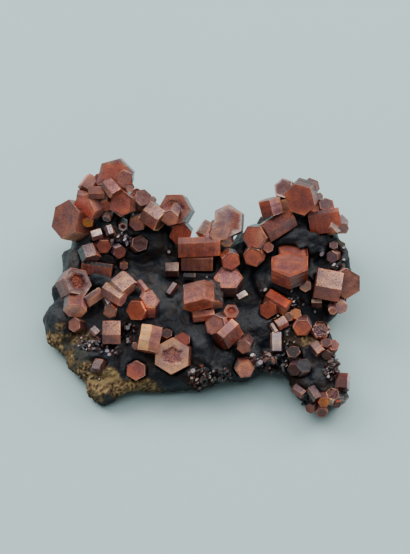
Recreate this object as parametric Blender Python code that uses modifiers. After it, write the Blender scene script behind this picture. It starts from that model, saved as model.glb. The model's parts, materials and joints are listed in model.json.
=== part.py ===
"""Vanadinite on matrix: hexagonal lead vanadate crystals on a dark iron and manganese oxide crust.

Metres, +Z up, the specimen resting on the flat underside of its matrix. The display side is
-Y, seen from 62 degrees above the table. Crystals are set out in millimetres on the display
plane: across is to the right, up is up that plane, height is above the table.
"""
import math
import random

import bmesh
import bpy
from mathutils import Matrix, Vector, noise

MM = 0.001
DISPLAY_ELEVATION = math.radians(62.0)
DATUM_HEIGHT = 8.5
CENTRE_X = 0.147
CENTRE_Y = -0.001
FIT_GAP = 0.3
SLAB_BOTTOM = 1.8
SLAB_TOP = 4.6
CRUST_VOXEL = 0.62
CRUST_TRIANGLES = 2250
BUMP_COUNT = 150
ROUGHNESS = 0.42
SEED = 23

SIN_E = math.sin(DISPLAY_ELEVATION)
COS_E = math.cos(DISPLAY_ELEVATION)
VIEW_RIGHT = Vector((1.0, 0.0, 0.0))
VIEW_UP = Vector((0.0, SIN_E, COS_E))
VIEW_OUT = Vector((0.0, -COS_E, SIN_E))

# Crystals whose end cap shows: name, cluster, cap centre (across, up, height), cap size corner to
# corner and flat to flat, length, then heading (where on the display plane the cap leans to),
# lean (how far) and roll (0 puts a corner of the cap toward the heading).
CAPPED = (
    ("west shoulder", "northwest crystals", -27.0, 14.2, 13.0, 8.2, 7.1, 5.0, 169, 45, -90),
    ("west orange", "northwest crystals", -23.2, 16.3, 15.4, 5.7, 5.2, 6.6, 205, 46, 30),
    ("west amber", "northwest crystals", -22.5, 13.4, 14.0, 2.6, 2.3, 3.2, 260, 40, 0),
    ("peak", "northwest crystals", -17.0, 22.6, 18.5, 7.7, 6.7, 5.0, 215, 4, 40),
    ("peak front", "northwest crystals", -15.2, 22.1, 19.6, 3.9, 3.4, 3.4, 250, 12, 26),
    ("northwest wedge", "northwest crystals", -20.0, 22.2, 18.0, 3.0, 2.4, 3.6, 120, 24, 10),
    ("northwest bud", "northwest crystals", -14.0, 20.4, 18.6, 2.2, 1.9, 3.0, 300, 35, 0),
    ("northwest amber", "northwest crystals", -12.6, 19.7, 16.8, 2.0, 1.8, 3.2, 80, 40, 10),
    ("northwest red face", "northwest crystals", -15.7, 17.2, 18.0, 5.4, 4.6, 5.0, 190, 18, 75),
    ("northwest mauve", "northwest crystals", -11.4, 18.5, 17.0, 4.0, 3.2, 4.4, 60, 30, 17),
    ("northwest tiny", "northwest tiny", -9.4, 18.2, 14.6, 1.8, 1.6, 2.6, 60, 40, 0),
    ("northwest brown", "northwest crystals", -18.8, 16.8, 15.6, 3.0, 2.6, 4.0, 260, 42, 0),
    ("northwest smoky", "northwest crystals", -18.7, 14.2, 13.6, 1.9, 1.7, 3.0, 250, 50, 30),
    ("north red block", "north block", -12.7, 13.2, 13.0, 3.6, 3.2, 3.8, 235, 35, 20),
    ("north crown", "north crown", -5.2, 16.2, 15.8, 6.8, 5.9, 4.6, 150, 14, 30),
    ("north pink", "north crown", -6.1, 14.3, 16.4, 3.8, 3.4, 4.6, 250, 30, 10),
    ("centre back red", "north crown", -3.9, 11.1, 13.2, 4.7, 4.2, 3.8, 250, 12, 60),
    ("north hexagon", "north centre", 5.6, 13.8, 16.0, 6.5, 6.1, 3.6, 170, 7, 36),
    ("north mauve", "north centre", 3.9, 11.2, 16.0, 4.4, 3.0, 4.0, 270, 25, 100),
    ("north finger", "north centre", 5.4, 9.4, 13.6, 2.8, 2.4, 5.4, 270, 48, 30),
    ("north orange", "north orange", 6.2, 5.7, 12.8, 4.1, 3.6, 2.8, 300, 25, 40),
    ("centre hexagon", "centre hexagon", 5.7, 2.5, 11.2, 6.0, 5.3, 3.0, 90, 38, 90),
    ("centre cup", "centre cup", 6.3, -4.2, 11.4, 3.2, 2.8, 3.0, 60, 22, 0),
    ("centre pink", "centre etched", 3.0, -7.1, 10.9, 4.8, 3.9, 3.6, 200, 25, -160),
    ("centre south pink", "centre etched", 8.7, -11.3, 9.8, 3.2, 2.8, 3.4, 240, 25, 20),
    ("south coral", "south coral", 9.0, -15.8, 7.4, 3.9, 3.5, 3.4, 300, 18, 5),
    ("great hexagon", "great hexagon", 17.9, 5.3, 14.0, 7.9, 7.3, 3.5, 90, 47, 0),
    ("great hexagon back", "great hexagon", 18.6, 7.7, 12.4, 6.6, 5.8, 3.4, 90, 47, 5),
    ("east pink disc", "east disc", 10.8, 10.5, 14.6, 5.2, 4.7, 4.4, 200, 20, 40),
    ("east red", "east disc", 10.7, 6.5, 12.5, 4.4, 3.9, 4.0, 250, 25, 35),
    ("east bud", "east disc", 13.7, 8.5, 12.6, 2.7, 2.1, 3.4, 320, 32, 0),
    ("east two tone", "northeast crystals", 13.7, 18.2, 16.6, 5.1, 4.4, 3.3, 105, 84, 0),
    ("northeast great", "northeast crystals", 19.9, 18.0, 19.0, 7.0, 5.6, 4.0, 235, 24, 50),
    ("northeast dark", "northeast crystals", 17.2, 16.6, 15.2, 4.0, 3.4, 4.0, 250, 25, 0),
    ("northeast shade", "northeast crystals", 23.0, 16.9, 15.4, 3.8, 3.2, 4.0, 90, 28, 0),
    ("northeast olive", "northeast crystals", 16.7, 20.4, 17.6, 4.4, 3.8, 4.6, 140, 25, 20),
    ("northeast mauve", "northeast crystals", 22.3, 20.9, 18.2, 3.6, 3.2, 4.0, 60, 30, 40),
    ("northeast grey", "northeast crystals", 24.0, 18.7, 16.6, 1.9, 1.6, 3.0, 20, 40, 0),
    ("northeast pink", "northeast crystals", 25.3, 17.1, 16.0, 3.4, 3.0, 4.0, 80, 32, 20),
    ("east great side", "northeast crystals", 28.0, 13.3, 13.8, 4.6, 3.2, 3.6, 20, 35, 0),
    ("east spur", "northeast crystals", 28.6, 12.3, 13.4, 2.8, 2.1, 3.4, 0, 22, 0),
    ("east mauve bud", "east buds", 26.7, 9.0, 11.8, 2.0, 1.7, 3.0, 90, 30, 0),
    ("east grey bud", "east buds", 26.3, 6.6, 11.4, 2.6, 2.3, 3.0, 200, 20, 10),
    ("east round", "east round", 21.0, 0.8, 11.2, 2.7, 2.4, 3.2, 270, 12, 0),
    ("far east hexagon", "far east", 29.2, 1.3, 11.0, 6.3, 5.6, 3.8, 0, 10, 90),
    ("far east smoky", "far east", 28.2, -3.6, 8.8, 3.0, 2.6, 3.2, 300, 35, 20),
    ("far east coral", "far east", 26.5, -4.2, 8.6, 1.9, 1.6, 2.6, 270, 30, 20),
    ("southeast red", "southeast orange", 13.5, -4.0, 9.0, 3.9, 3.1, 3.4, 200, 20, 10),
    ("southeast amber", "southeast amber", 20.4, -7.6, 8.8, 3.8, 3.4, 3.2, 270, 22, 30),
    ("southeast gold", "southeast gold", 19.1, -4.7, 9.0, 2.5, 2.1, 2.8, 100, 22, 0),
    ("southeast straw", "southeast gold", 17.6, -5.4, 8.7, 2.1, 1.8, 2.8, 200, 25, 0),
    ("southeast rough", "southeast red", 24.2, -7.8, 8.4, 3.8, 3.3, 3.2, 60, 20, 0),
    ("southeast pink", "southeast group", 25.1, -10.4, 8.2, 2.4, 2.1, 3.0, 100, 30, 0),
    ("southeast brown", "southeast group", 26.6, -10.9, 7.4, 2.7, 2.3, 2.8, 60, 30, 10),
    ("southeast purple", "southeast group", 25.2, -13.0, 7.2, 2.4, 2.1, 2.8, 250, 30, 10),
    ("tail dark", "tail top crystals", 18.6, -12.2, 8.0, 2.9, 2.6, 2.8, 100, 30, 10),
    ("tail smoky", "tail top crystals", 20.8, -15.0, 7.8, 3.2, 2.8, 3.2, 60, 25, 10),
    ("tail garnet", "tail top crystals", 18.6, -15.9, 7.0, 3.0, 2.6, 3.0, 230, 35, 10),
    ("tail orange", "tail end crystals", 24.6, -22.3, 6.2, 2.5, 2.2, 2.6, 280, 26, 20),
    ("tail pink", "tail end crystals", 26.4, -20.6, 6.4, 2.9, 2.5, 2.8, 80, 30, 20),
    ("tail amber", "tail end crystals", 27.4, -22.8, 4.8, 1.8, 1.6, 2.2, 300, 40, 0),
    ("tail brown", "tail end crystals", 24.2, -24.4, 4.6, 2.6, 2.3, 2.4, 270, 40, 30),
    ("tail mauve", "tail end crystals", 21.8, -23.6, 4.8, 2.2, 1.9, 2.4, 220, 35, 0),
    ("tail slate", "tail end crystals", 22.5, -21.6, 5.6, 2.0, 1.7, 2.4, 240, 30, 20),
    ("tail shade", "tail end crystals", 28.5, -21.1, 4.8, 3.0, 2.4, 2.8, 30, 35, 20),
    ("west hopper", "west hopper", -24.3, 1.7, 12.2, 6.2, 5.6, 4.2, 30, 32, 22),
    ("west foot", "west foot", -25.1, -6.9, 9.2, 3.1, 2.7, 2.6, 170, 32, -80),
    ("west ember", "west pale", -19.1, 8.6, 12.2, 3.2, 2.8, 3.4, 300, 28, 0),
    ("west ember east", "west pale", -16.0, 7.5, 11.8, 2.9, 2.5, 3.2, 320, 30, 0),
    ("west garnet", "west garnet", -12.0, 9.3, 12.0, 3.6, 3.1, 3.4, 20, 18, 0),
    ("dark ring", "dark ring", -15.4, 12.6, 14.0, 2.0, 1.8, 3.0, 270, 20, 0),
    ("middle rose", "middle crystals", -17.9, -4.4, 11.2, 3.1, 2.6, 3.4, 260, 30, 0),
    ("middle ruby", "middle east", -12.8, -4.1, 12.4, 4.4, 3.8, 3.4, 200, 26, 40),
    ("middle pale east", "middle east", -10.0, -1.7, 13.4, 4.6, 3.0, 4.6, 90, 28, 30),
    ("middle mauve chip", "south tower", -12.8, -11.2, 9.8, 2.0, 1.7, 2.6, 250, 35, 0),
    ("south red bud", "south hopper", -3.5, -9.8, 9.4, 3.4, 3.0, 3.6, 90, 28, 0),
    ("south dark bud", "south hopper", -6.6, -8.6, 9.2, 2.4, 2.1, 3.0, 90, 28, 0),
    ("south hopper", "south hopper", -5.6, -13.1, 10.4, 7.5, 6.8, 4.4, 185, 8, 83),
    ("south hexagon", "south hexagon", -12.8, -16.0, 7.9, 4.1, 3.6, 3.2, 185, 6, 85),
    ("mauve bud", "mauve bud", -15.2, 4.8, 10.2, 2.0, 1.7, 2.4, 270, 20, 0),
)

# Crystals lying with a prism face level: name, cluster, centre of that face (across, up, height),
# face width, thickness, length, then compass of the axis, pitch (positive lifts the far end) and
# bank (positive lowers the right side, looking along the axis).
LYING = (
    ("northwest pale block", "northwest crystals", -17.6, 20.9, 20.6, 2.0, 2.3, 3.4, 306, 0, 0),
    ("northwest bar", "northwest crystals", -20.7, 20.0, 18.8, 1.7, 2.2, 3.2, 2, 0, 0),
    ("northwest small pink", "northwest crystals", -23.4, 19.4, 16.6, 1.2, 2.2, 2.4, 350, 0, 0),
    ("northwest tan", "northwest crystals", -22.1, 21.7, 17.8, 2.0, 3.0, 3.3, 57, 0, 0),
    ("bright chip", "bright chip", -20.7, 11.5, 13.6, 1.4, 1.8, 2.1, 19, 0, 0),
    ("bright chip east", "bright chip east", -18.0, 12.2, 13.8, 1.0, 1.9, 2.0, 108, 0, 0),
    ("north block", "north block", -9.1, 15.9, 17.2, 2.6, 4.8, 3.8, 321, 0, 0),
    ("north plate", "north centre", 0.9, 12.6, 15.2, 1.4, 1.8, 3.3, 61, 0, 0),
    ("north plate low", "north centre", 1.9, 11.9, 14.9, 1.1, 1.8, 3.1, 61, 0, 0),
    ("centre slab", "centre slab", -0.2, 10.0, 15.0, 1.4, 5.7, 8.4, 3, 0, 0),
    ("centre slab low", "centre slab", -0.6, 6.6, 11.6, 0.9, 5.0, 6.4, 0, 0, 0),
    ("centre cube", "centre cube", -1.2, -0.3, 14.0, 4.6, 4.2, 4.4, 272, 0, 25),
    ("centre cube east", "centre cube", 3.6, -0.3, 11.8, 2.6, 3.2, 4.6, 272, 0, -35),
    ("centre wedge", "centre cube", 0.7, -4.6, 9.9, 1.3, 2.2, 4.4, 8, 0, 0),
    ("centre etched", "centre etched", 5.5, -7.6, 12.0, 1.8, 5.2, 4.5, 47, 0, 0),
    ("chip east", "chip east", 8.4, -0.9, 9.9, 1.2, 1.3, 2.1, 32, 0, 0),
    ("middle chip", "middle chip", -5.6, 4.7, 10.6, 2.0, 2.4, 2.7, 0, 0, 0),
    ("middle sliver", "middle sliver", -5.7, 0.4, 9.9, 0.9, 1.3, 2.8, 58, 0, 0),
    ("slate chip", "slate chip", -2.1, 3.0, 9.7, 0.9, 1.3, 2.4, 357, 0, 0),
    ("east bar", "east bar", 15.5, 13.9, 15.6, 2.4, 4.2, 6.7, 36, 0, 0),
    ("east great block", "northeast crystals", 24.6, 15.6, 16.6, 0.9, 8.0, 6.4, 8, 5, 0),
    ("far east pale", "far east", 25.9, 2.2, 13.0, 4.0, 5.2, 5.2, 352, -8, 0),
    ("southeast box", "southeast box", 23.3, -2.2, 9.0, 0.8, 2.0, 2.1, 0, 0, 0),
    ("southeast orange", "southeast orange", 15.6, -1.6, 9.8, 1.8, 3.6, 5.0, 325, 0, 0),
    ("southeast chip", "southeast chip", 16.2, -6.2, 8.6, 1.7, 1.8, 2.2, 32, 0, 0),
    ("southeast sliver", "southeast chip", 14.8, -7.4, 8.2, 0.6, 1.2, 2.2, 299, 0, 0),
    ("southeast pale bar", "southeast chip", 15.3, -10.2, 7.9, 1.8, 1.5, 4.3, 90, 0, 0),
    ("southeast striped", "southeast group", 23.3, -11.3, 8.4, 1.6, 1.8, 2.6, 307, 0, 0),
    ("tail box", "tail box", 28.4, -17.9, 6.4, 1.9, 2.0, 3.4, 85, 0, 0),
    ("tail west", "tail west", 19.7, -19.7, 5.6, 1.2, 1.8, 2.6, 320, 0, 0),
    ("tail pale", "tail end crystals", 22.8, -20.2, 6.6, 1.4, 1.8, 3.0, 301, 0, 0),
    ("west dark red", "west dark red", -20.6, 5.2, 11.4, 0.8, 4.2, 6.2, 350, 0, 0),
    ("west plate", "west hopper", -21.3, -0.8, 11.6, 0.9, 3.0, 3.8, 38, 0, 0),
    ("west pale", "west pale", -22.1, 8.0, 12.8, 2.2, 3.4, 2.9, 288, 0, 0),
    ("west peach", "west hopper", -24.8, -1.7, 11.8, 2.6, 3.8, 3.4, 266, 12, 0),
    ("middle step", "middle crystals", -17.3, 0.0, 14.0, 1.5, 3.2, 4.6, 322, 6, 0),
    ("middle pale", "middle crystals", -15.4, 1.8, 14.8, 3.1, 3.6, 3.6, 313, 0, 0),
    ("middle tan", "middle east", -11.3, 1.1, 13.8, 0.7, 2.0, 2.8, 305, 0, 0),
    ("middle smoky bar", "middle crystals", -18.3, -2.2, 11.6, 0.9, 1.4, 2.2, 295, 0, 0),
    ("southwest block", "southwest block", -17.6, -7.5, 11.4, 3.2, 3.8, 3.6, 0, 0, 0),
    ("south tower", "south tower", -11.0, -9.3, 12.6, 2.4, 4.4, 5.2, 79, 20, -25),
    ("southwest chip", "southwest chip", -20.9, -7.9, 9.3, 1.2, 1.3, 1.8, 312, 0, 0),
    ("southwest mauve", "southwest mauve", -20.5, -14.7, 7.6, 1.8, 1.8, 2.6, 70, 0, -20),
)

# Small buds grown as one with the crust: across, up, height, size, length, heading, lean.
BUDS = (
    (-16.4, 10.5, 12.2, 1.1, 2.2, 250, 40), (-15.2, 9.8, 12.0, 1.3, 2.4, 200, 30),
    (-14.3, 9.6, 11.8, 1.1, 2.2, 60, 50), (-17.3, 9.4, 12.0, 1.2, 2.4, 280, 30),
    (-15.0, 11.2, 12.6, 1.2, 2.2, 120, 30), (-17.6, 10.6, 12.6, 1.4, 2.4, 160, 30),
    (-6.2, 7.6, 10.0, 1.0, 2.0, 300, 40), (22.6, -1.5, 8.4, 1.0, 2.0, 280, 60),
    (17.6, -7.2, 7.8, 1.6, 2.6, 200, 30),
    (27.0, -15.3, 6.4, 1.3, 2.2, 330, 40), (26.0, -16.2, 6.4, 2.0, 2.6, 250, 20),
    (25.6, -3.1, 7.8, 1.5, 2.4, 240, 30), (29.0, -2.2, 9.0, 1.9, 2.6, 330, 20),
    (24.4, 7.2, 11.4, 1.2, 2.2, 260, 30), (26.6, 4.9, 11.2, 1.3, 2.2, 90, 40),
    (19.0, -2.0, 8.6, 1.5, 2.4, 20, 50), (18.8, -2.9, 8.4, 1.6, 2.4, 240, 40),
    (10.2, -13.2, 7.8, 1.2, 2.2, 60, 30), (11.7, -14.6, 7.2, 1.1, 2.2, 20, 30),
    (12.6, -11.8, 7.8, 1.6, 2.4, 260, 25), (13.6, -14.4, 7.0, 2.1, 2.6, 250, 20),
    (15.6, -13.4, 7.2, 1.5, 2.4, 280, 30), (16.8, -15.4, 6.6, 1.8, 2.6, 200, 20),
    (1.0, -17.6, 6.4, 1.3, 2.2, 270, 40), (-1.0, -17.0, 6.8, 1.4, 2.2, 240, 40),
    (2.6, -16.2, 7.2, 1.3, 2.2, 250, 40), (4.4, -16.4, 7.0, 1.5, 2.2, 290, 35),
    (-22.0, -10.4, 8.6, 1.2, 2.2, 120, 30), (-20.2, -10.8, 8.6, 1.3, 2.2, 300, 40),
    (-17.0, -12.2, 7.8, 1.0, 2.0, 30, 40), (-19.4, -12.6, 7.8, 1.2, 2.2, 320, 50),
    (-10.0, -5.3, 10.6, 1.4, 2.4, 300, 30), (20.8, -21.4, 4.8, 1.7, 2.4, 240, 30),
    (12.2, 0.0, 9.4, 1.0, 2.0, 100, 50), (16.6, -4.4, 8.4, 1.1, 2.2, 300, 50),
)

# The crust and its mounds: x, y, height of the centre and the three half sizes.
LUMPS = (
    (-6.0, -3.4, 3.4, 21.4, 15.4, 5.2), (-8.0, -12.4, 3.0, 15.0, 6.8, 4.2),
    (-19.6, -11.8, 3.0, 7.0, 6.4, 4.8), (-23.2, 6.2, 5.6, 4.6, 4.4, 5.0),
    (-27.4, -4.6, 4.6, 3.9, 4.2, 4.2), (-25.0, 1.0, 4.6, 3.5, 5.8, 4.6),
    (-17.0, 12.4, 5.8, 8.4, 7.2, 6.8), (-21.0, 12.0, 5.0, 4.6, 5.0, 6.8),
    (-8.6, 11.8, 5.0, 6.4, 5.8, 6.6), (-15.0, 1.0, 4.6, 7.0, 7.0, 5.2),
    (2.0, 6.8, 5.0, 10.0, 5.8, 4.5), (19.4, 11.6, 6.0, 9.0, 6.8, 8.0),
    (18.4, 3.6, 4.8, 9.6, 8.0, 5.6), (27.4, 5.4, 6.0, 2.4, 4.2, 4.6),
    (26.0, 2.0, 4.6, 3.8, 5.0, 4.6), (15.4, -4.6, 3.8, 8.6, 7.0, 4.6),
    (20.0, -10.4, 3.4, 7.0, 6.8, 4.2), (23.0, -16.4, 2.6, 4.8, 6.4, 3.8),
    (23.6, -20.6, 2.2, 3.4, 3.0, 3.0), (27.0, -19.8, 2.4, 1.8, 2.0, 3.0),
    (-20.4, 2.6, 8.6, 2.2, 2.0, 1.9), (4.0, -12.0, 3.0, 9.4, 5.8, 4.2),
    (10.0, 9.6, 5.4, 4.6, 4.0, 5.6), (-19.2, -18.4, 2.2, 3.4, 3.4, 3.0),
    (28.0, 9.0, 8.4, 1.4, 1.2, 1.4), (-11.0, -15.2, 3.0, 7.6, 4.4, 3.6),
)

# Plan of the rim of the matrix, going round; the underside is smaller.
OUTLINE = (
    (-23.0, 10.2), (-25.8, 7.4), (-27.4, 4.5), (-27.6, 1.6), (-28.6, -1.2), (-31.0, -3.4),
    (-31.2, -6.4), (-29.8, -9.2), (-27.2, -11.0), (-24.6, -13.6), (-23.0, -16.0),
    (-21.8, -18.4), (-21.2, -21.0), (-20.2, -22.0), (-17.6, -21.4), (-13.4, -20.2),
    (-8.6, -19.2), (-2.0, -19.2), (3.4, -17.9), (8.0, -17.2), (11.4, -15.6), (14.6, -14.6),
    (17.6, -16.6), (19.4, -19.4), (21.2, -22.0), (22.6, -23.6), (24.8, -23.4), (27.4, -21.6),
    (28.6, -20.2), (27.4, -17.4), (26.4, -13.0), (25.0, -9.0), (25.0, -5.4), (27.2, -2.8),
    (29.2, 0.6), (29.2, 5.6), (28.0, 9.4), (26.0, 13.0), (23.4, 16.6), (18.6, 17.6),
    (13.6, 14.6), (9.4, 11.6), (5.0, 12.2), (0.4, 11.6), (-3.6, 13.8), (-8.6, 16.2),
    (-13.8, 19.0), (-18.6, 19.6), (-22.2, 15.8),
)

TONES = {
    "northwest crystals": (0.34, 0.11, 0.07), "north block": (0.42, 0.19, 0.12),
    "north crown": (0.36, 0.12, 0.07), "north centre": (0.36, 0.15, 0.12),
    "centre slab": (0.30, 0.07, 0.04), "centre cube": (0.42, 0.16, 0.10),
    "great hexagon": (0.44, 0.14, 0.08), "northeast crystals": (0.34, 0.10, 0.06),
    "middle crystals": (0.44, 0.18, 0.13), "south hopper": (0.46, 0.22, 0.15),
    "south tower": (0.50, 0.28, 0.16), "far east": (0.40, 0.17, 0.14),
}
PLAIN_TONE = (0.38, 0.11, 0.07)
MATRIX_TONE = (0.03, 0.035, 0.04)


def plan_point(across, up, height):
    """World point in millimetres of a place on the display plane at a height."""
    y = (up - (height - DATUM_HEIGHT) * COS_E) / SIN_E
    return Vector((across, y, height))


def capped_frame(row):
    """Frame of a capped crystal: origin at the cap, Z along the axis, X to a corner."""
    heading, lean, roll = (math.radians(value) for value in row[8:11])
    toward = VIEW_RIGHT * math.cos(heading) + VIEW_UP * math.sin(heading)
    axis = toward * math.sin(lean) + VIEW_OUT * math.cos(lean)
    first = toward * math.cos(lean) - VIEW_OUT * math.sin(lean)
    second = axis.cross(first)
    corner = first * math.cos(roll) + second * math.sin(roll)
    side = axis.cross(corner)
    frame = Matrix((corner, side, axis)).transposed().to_4x4()
    frame.translation = plan_point(*row[2:5])
    return frame, row[5], row[6], row[7]


def lying_frame(row):
    """Frame of a lying crystal, from the centre of its level face."""
    width, thick, length = row[5:8]
    compass, pitch, bank = (math.radians(value) for value in row[8:11])
    axis = Vector((math.cos(compass), math.sin(compass), 0.0))
    right = Vector((math.sin(compass), -math.cos(compass), 0.0))
    turn = Matrix.Rotation(pitch, 3, right) @ Matrix.Rotation(bank, 3, axis)
    axis = turn @ axis
    level = turn @ Vector((0.0, 0.0, 1.0))
    corner = level.cross(axis)
    frame = Matrix((corner, level, axis)).transposed().to_4x4()
    frame.translation = plan_point(*row[2:5]) - level * (thick / 2.0) + axis * (length / 2.0)
    return frame, width + thick / math.sqrt(3.0), thick, length


def crystal_mesh(name, frame, corner, flat, length, grow=0.0):
    """Hexagonal prism whose cap is corner across one way and flat the other."""
    mesh = bpy.data.meshes.new(name)
    shape = bmesh.new()
    bmesh.ops.create_cone(shape, cap_ends=True, segments=6, radius1=1.0, radius2=1.0, depth=1.0)
    half_flat = flat / 2.0 + grow
    half_corner = corner / 2.0 + grow * 2.0 / math.sqrt(3.0)
    shoulder = half_corner - half_flat / math.sqrt(3.0)
    for vert in shape.verts:
        sixth = round(math.degrees(math.atan2(vert.co.y, vert.co.x)) / 60.0 - 0.5) % 6
        reach = half_corner if sixth % 3 == 0 else shoulder
        x = reach if sixth in (0, 1, 5) else -reach
        y = 0.0 if sixth % 3 == 0 else half_flat if sixth in (1, 2) else -half_flat
        z = grow if vert.co.z > 0.0 else -length - grow
        vert.co = Vector((x, y, z))
    shape.transform(Matrix.Scale(MM, 4) @ frame)
    shape.to_mesh(mesh)
    shape.free()
    return mesh


def solid(name, mesh, collection):
    """Add a mesh as a named object of a collection."""
    made = bpy.data.objects.new(name, mesh)
    collection.objects.link(made)
    return made


def wire(made):
    """Mark an object as a construction solid that is not rendered."""
    made.hide_render = True
    made.display_type = "WIRE"
    return made


def baked(made):
    """Replace an object's mesh by its evaluated shape and drop the modifiers."""
    evaluated = made.evaluated_get(bpy.context.evaluated_depsgraph_get())
    mesh = bpy.data.meshes.new_from_object(evaluated)
    made.modifiers.clear()
    made.data = mesh
    return made


def combine(made, others, operation):
    """Boolean an object with a list of others."""
    for other in others:
        cut = made.modifiers.new(other.name, "BOOLEAN")
        cut.object = other
        cut.operation = operation
        cut.solver = "EXACT"
    return baked(made)


def box_of(mesh):
    """Lower and upper corners of a mesh."""
    xs, ys, zs = zip(*(vert.co for vert in mesh.vertices))
    return (min(xs), min(ys), min(zs)), (max(xs), max(ys), max(zs))


def near(first, second):
    """Whether the boxes of two meshes come within the fit gap."""
    low, high = box_of(first)
    other_low, other_high = box_of(second)
    slack = FIT_GAP * MM
    spans = zip(low, high, other_low, other_high)
    return all(a - slack < d and c - slack < b for a, b, c, d in spans)


def painted(made, tone, roughness):
    """Give an object its own plain material."""
    material = bpy.data.materials.new(made.name)
    material.use_nodes = True
    surface = material.node_tree.nodes["Principled BSDF"]
    surface.inputs["Base Color"].default_value = (*tone, 1.0)
    surface.inputs["Roughness"].default_value = roughness
    made.data.materials.clear()
    made.data.materials.append(material)
    return made


def clusters_of_crystals():
    """Frames and sizes of every crystal, by cluster."""
    clusters = {}
    for row in CAPPED:
        clusters.setdefault(row[1], []).append((row[0], *capped_frame(row)))
    for row in LYING:
        clusters.setdefault(row[1], []).append((row[0], *lying_frame(row)))
    return clusters


def underside_outline(collection):
    """Closed plan curve of the matrix rim, made solid between its two heights."""
    curve = bpy.data.curves.new("outline", "CURVE")
    curve.dimensions = "2D"
    curve.fill_mode = "BOTH"
    curve.extrude = (SLAB_TOP - SLAB_BOTTOM) / 2.0 * MM
    curve.resolution_u = 4
    line = curve.splines.new("NURBS")
    line.points.add(len(OUTLINE) - 1)
    line.use_cyclic_u = True
    line.order_u = 3
    for point, (x, y) in zip(line.points, OUTLINE):
        point.co = (x * MM, y * MM, 0.0, 1.0)
    drawn = bpy.data.objects.new("outline", curve)
    collection.objects.link(drawn)
    bpy.context.view_layer.update()
    mesh = bpy.data.meshes.new_from_object(drawn.evaluated_get(bpy.context.evaluated_depsgraph_get()))
    bpy.data.objects.remove(drawn)
    shape = bmesh.new()
    shape.from_mesh(mesh)
    bmesh.ops.remove_doubles(shape, verts=shape.verts, dist=0.00002)
    middle = (SLAB_TOP + SLAB_BOTTOM) / 2.0 * MM
    bmesh.ops.translate(shape, verts=shape.verts, vec=(0.0, 0.0, middle))
    bmesh.ops.recalc_face_normals(shape, faces=shape.faces)
    shape.to_mesh(mesh)
    shape.free()
    return solid("slab", mesh, collection)


def lump(name, centre, radii, collection):
    """Ellipsoid mound of the crust."""
    mesh = bpy.data.meshes.new(name)
    shape = bmesh.new()
    scale = Matrix.Diagonal((*(radius * MM for radius in radii), 1.0))
    place = Matrix.Translation(Vector(centre) * MM) @ scale
    bmesh.ops.create_icosphere(shape, subdivisions=3, radius=1.0, matrix=place)
    shape.to_mesh(mesh)
    shape.free()
    return solid(name, mesh, collection)


def crust_height(x, y):
    """Top of the mounds at a plan position, in millimetres."""
    top = 0.0
    for cx, cy, cz, rx, ry, rz in LUMPS:
        spread = 1.0 - ((x - cx) / rx) ** 2 - ((y - cy) / ry) ** 2
        if spread > 0.0:
            top = max(top, cz + rz * math.sqrt(spread))
    return top


def crust(collection, cutters):
    """Matrix mass: slab, mounds and rounded bumps run together, roughened, cut flat below."""
    chance = random.Random(SEED)
    pieces = [underside_outline(cutters)]
    for index, (x, y, z, rx, ry, rz) in enumerate(LUMPS):
        pieces.append(lump(f"mound {index + 1}", (x, y, z), (rx, ry, rz), cutters))
    for index in range(BUMP_COUNT):
        x = chance.uniform(-30.0, 29.0)
        y = chance.uniform(-24.0, 18.0)
        top = crust_height(x, y)
        radius = chance.uniform(0.9, 1.9)
        if top > 4.0:
            middle = (x, y, top - radius * chance.uniform(0.55, 0.8))
            pieces.append(lump(f"bump {index + 1}", middle, (radius, radius, radius), cutters))
    shape = bmesh.new()
    for piece in pieces:
        shape.from_mesh(piece.data)
    mesh = bpy.data.meshes.new("matrix")
    shape.to_mesh(mesh)
    shape.free()
    for piece in pieces:
        bpy.data.objects.remove(piece)
    made = solid("matrix", mesh, collection)
    voxels = made.modifiers.new("run together", "REMESH")
    voxels.mode = "VOXEL"
    voxels.voxel_size = CRUST_VOXEL * MM
    voxels.adaptivity = 0.0
    baked(made)
    for vert in made.data.vertices:
        place = vert.co / MM
        out = vert.normal
        swell = noise.fractal(place * 0.23, 1.0, 2.1, 3)
        grain = noise.fractal(place * 0.8 + Vector((9.0, 4.0, 2.0)), 1.0, 2.0, 2)
        vert.co += out * (swell * 0.9 + grain * ROUGHNESS) * MM
    even = made.modifiers.new("fewer faces", "DECIMATE")
    even.ratio = CRUST_TRIANGLES / sum(len(face.vertices) - 2 for face in made.data.polygons)
    even.use_collapse_triangulate = True
    baked(made)
    floor_mesh = bpy.data.meshes.new("below the table")
    shape = bmesh.new()
    place = Matrix.Translation((0.0, 0.0, -0.05)) @ Matrix.Diagonal((0.2, 0.2, 0.1, 1.0))
    bmesh.ops.create_cube(shape, size=1.0, matrix=place)
    shape.to_mesh(floor_mesh)
    shape.free()
    below = wire(solid("below the table", floor_mesh, cutters))
    return combine(made, [below], "DIFFERENCE")


def largest_piece(made):
    """Drop crumbs cut off the main body of an object."""
    shape = bmesh.new()
    shape.from_mesh(made.data)
    left = set(shape.verts)
    pieces = []
    while left:
        front = [left.pop()]
        piece = list(front)
        while front:
            here = front.pop()
            ends = {edge.other_vert(here) for edge in here.link_edges}
            fresh = ends & left
            left -= fresh
            front.extend(fresh)
            piece.extend(fresh)
        pieces.append(piece)
    pieces.sort(key=len)
    for piece in pieces[:-1]:
        bmesh.ops.delete(shape, geom=piece, context="VERTS")
    shape.to_mesh(made.data)
    shape.free()
    return made


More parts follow.
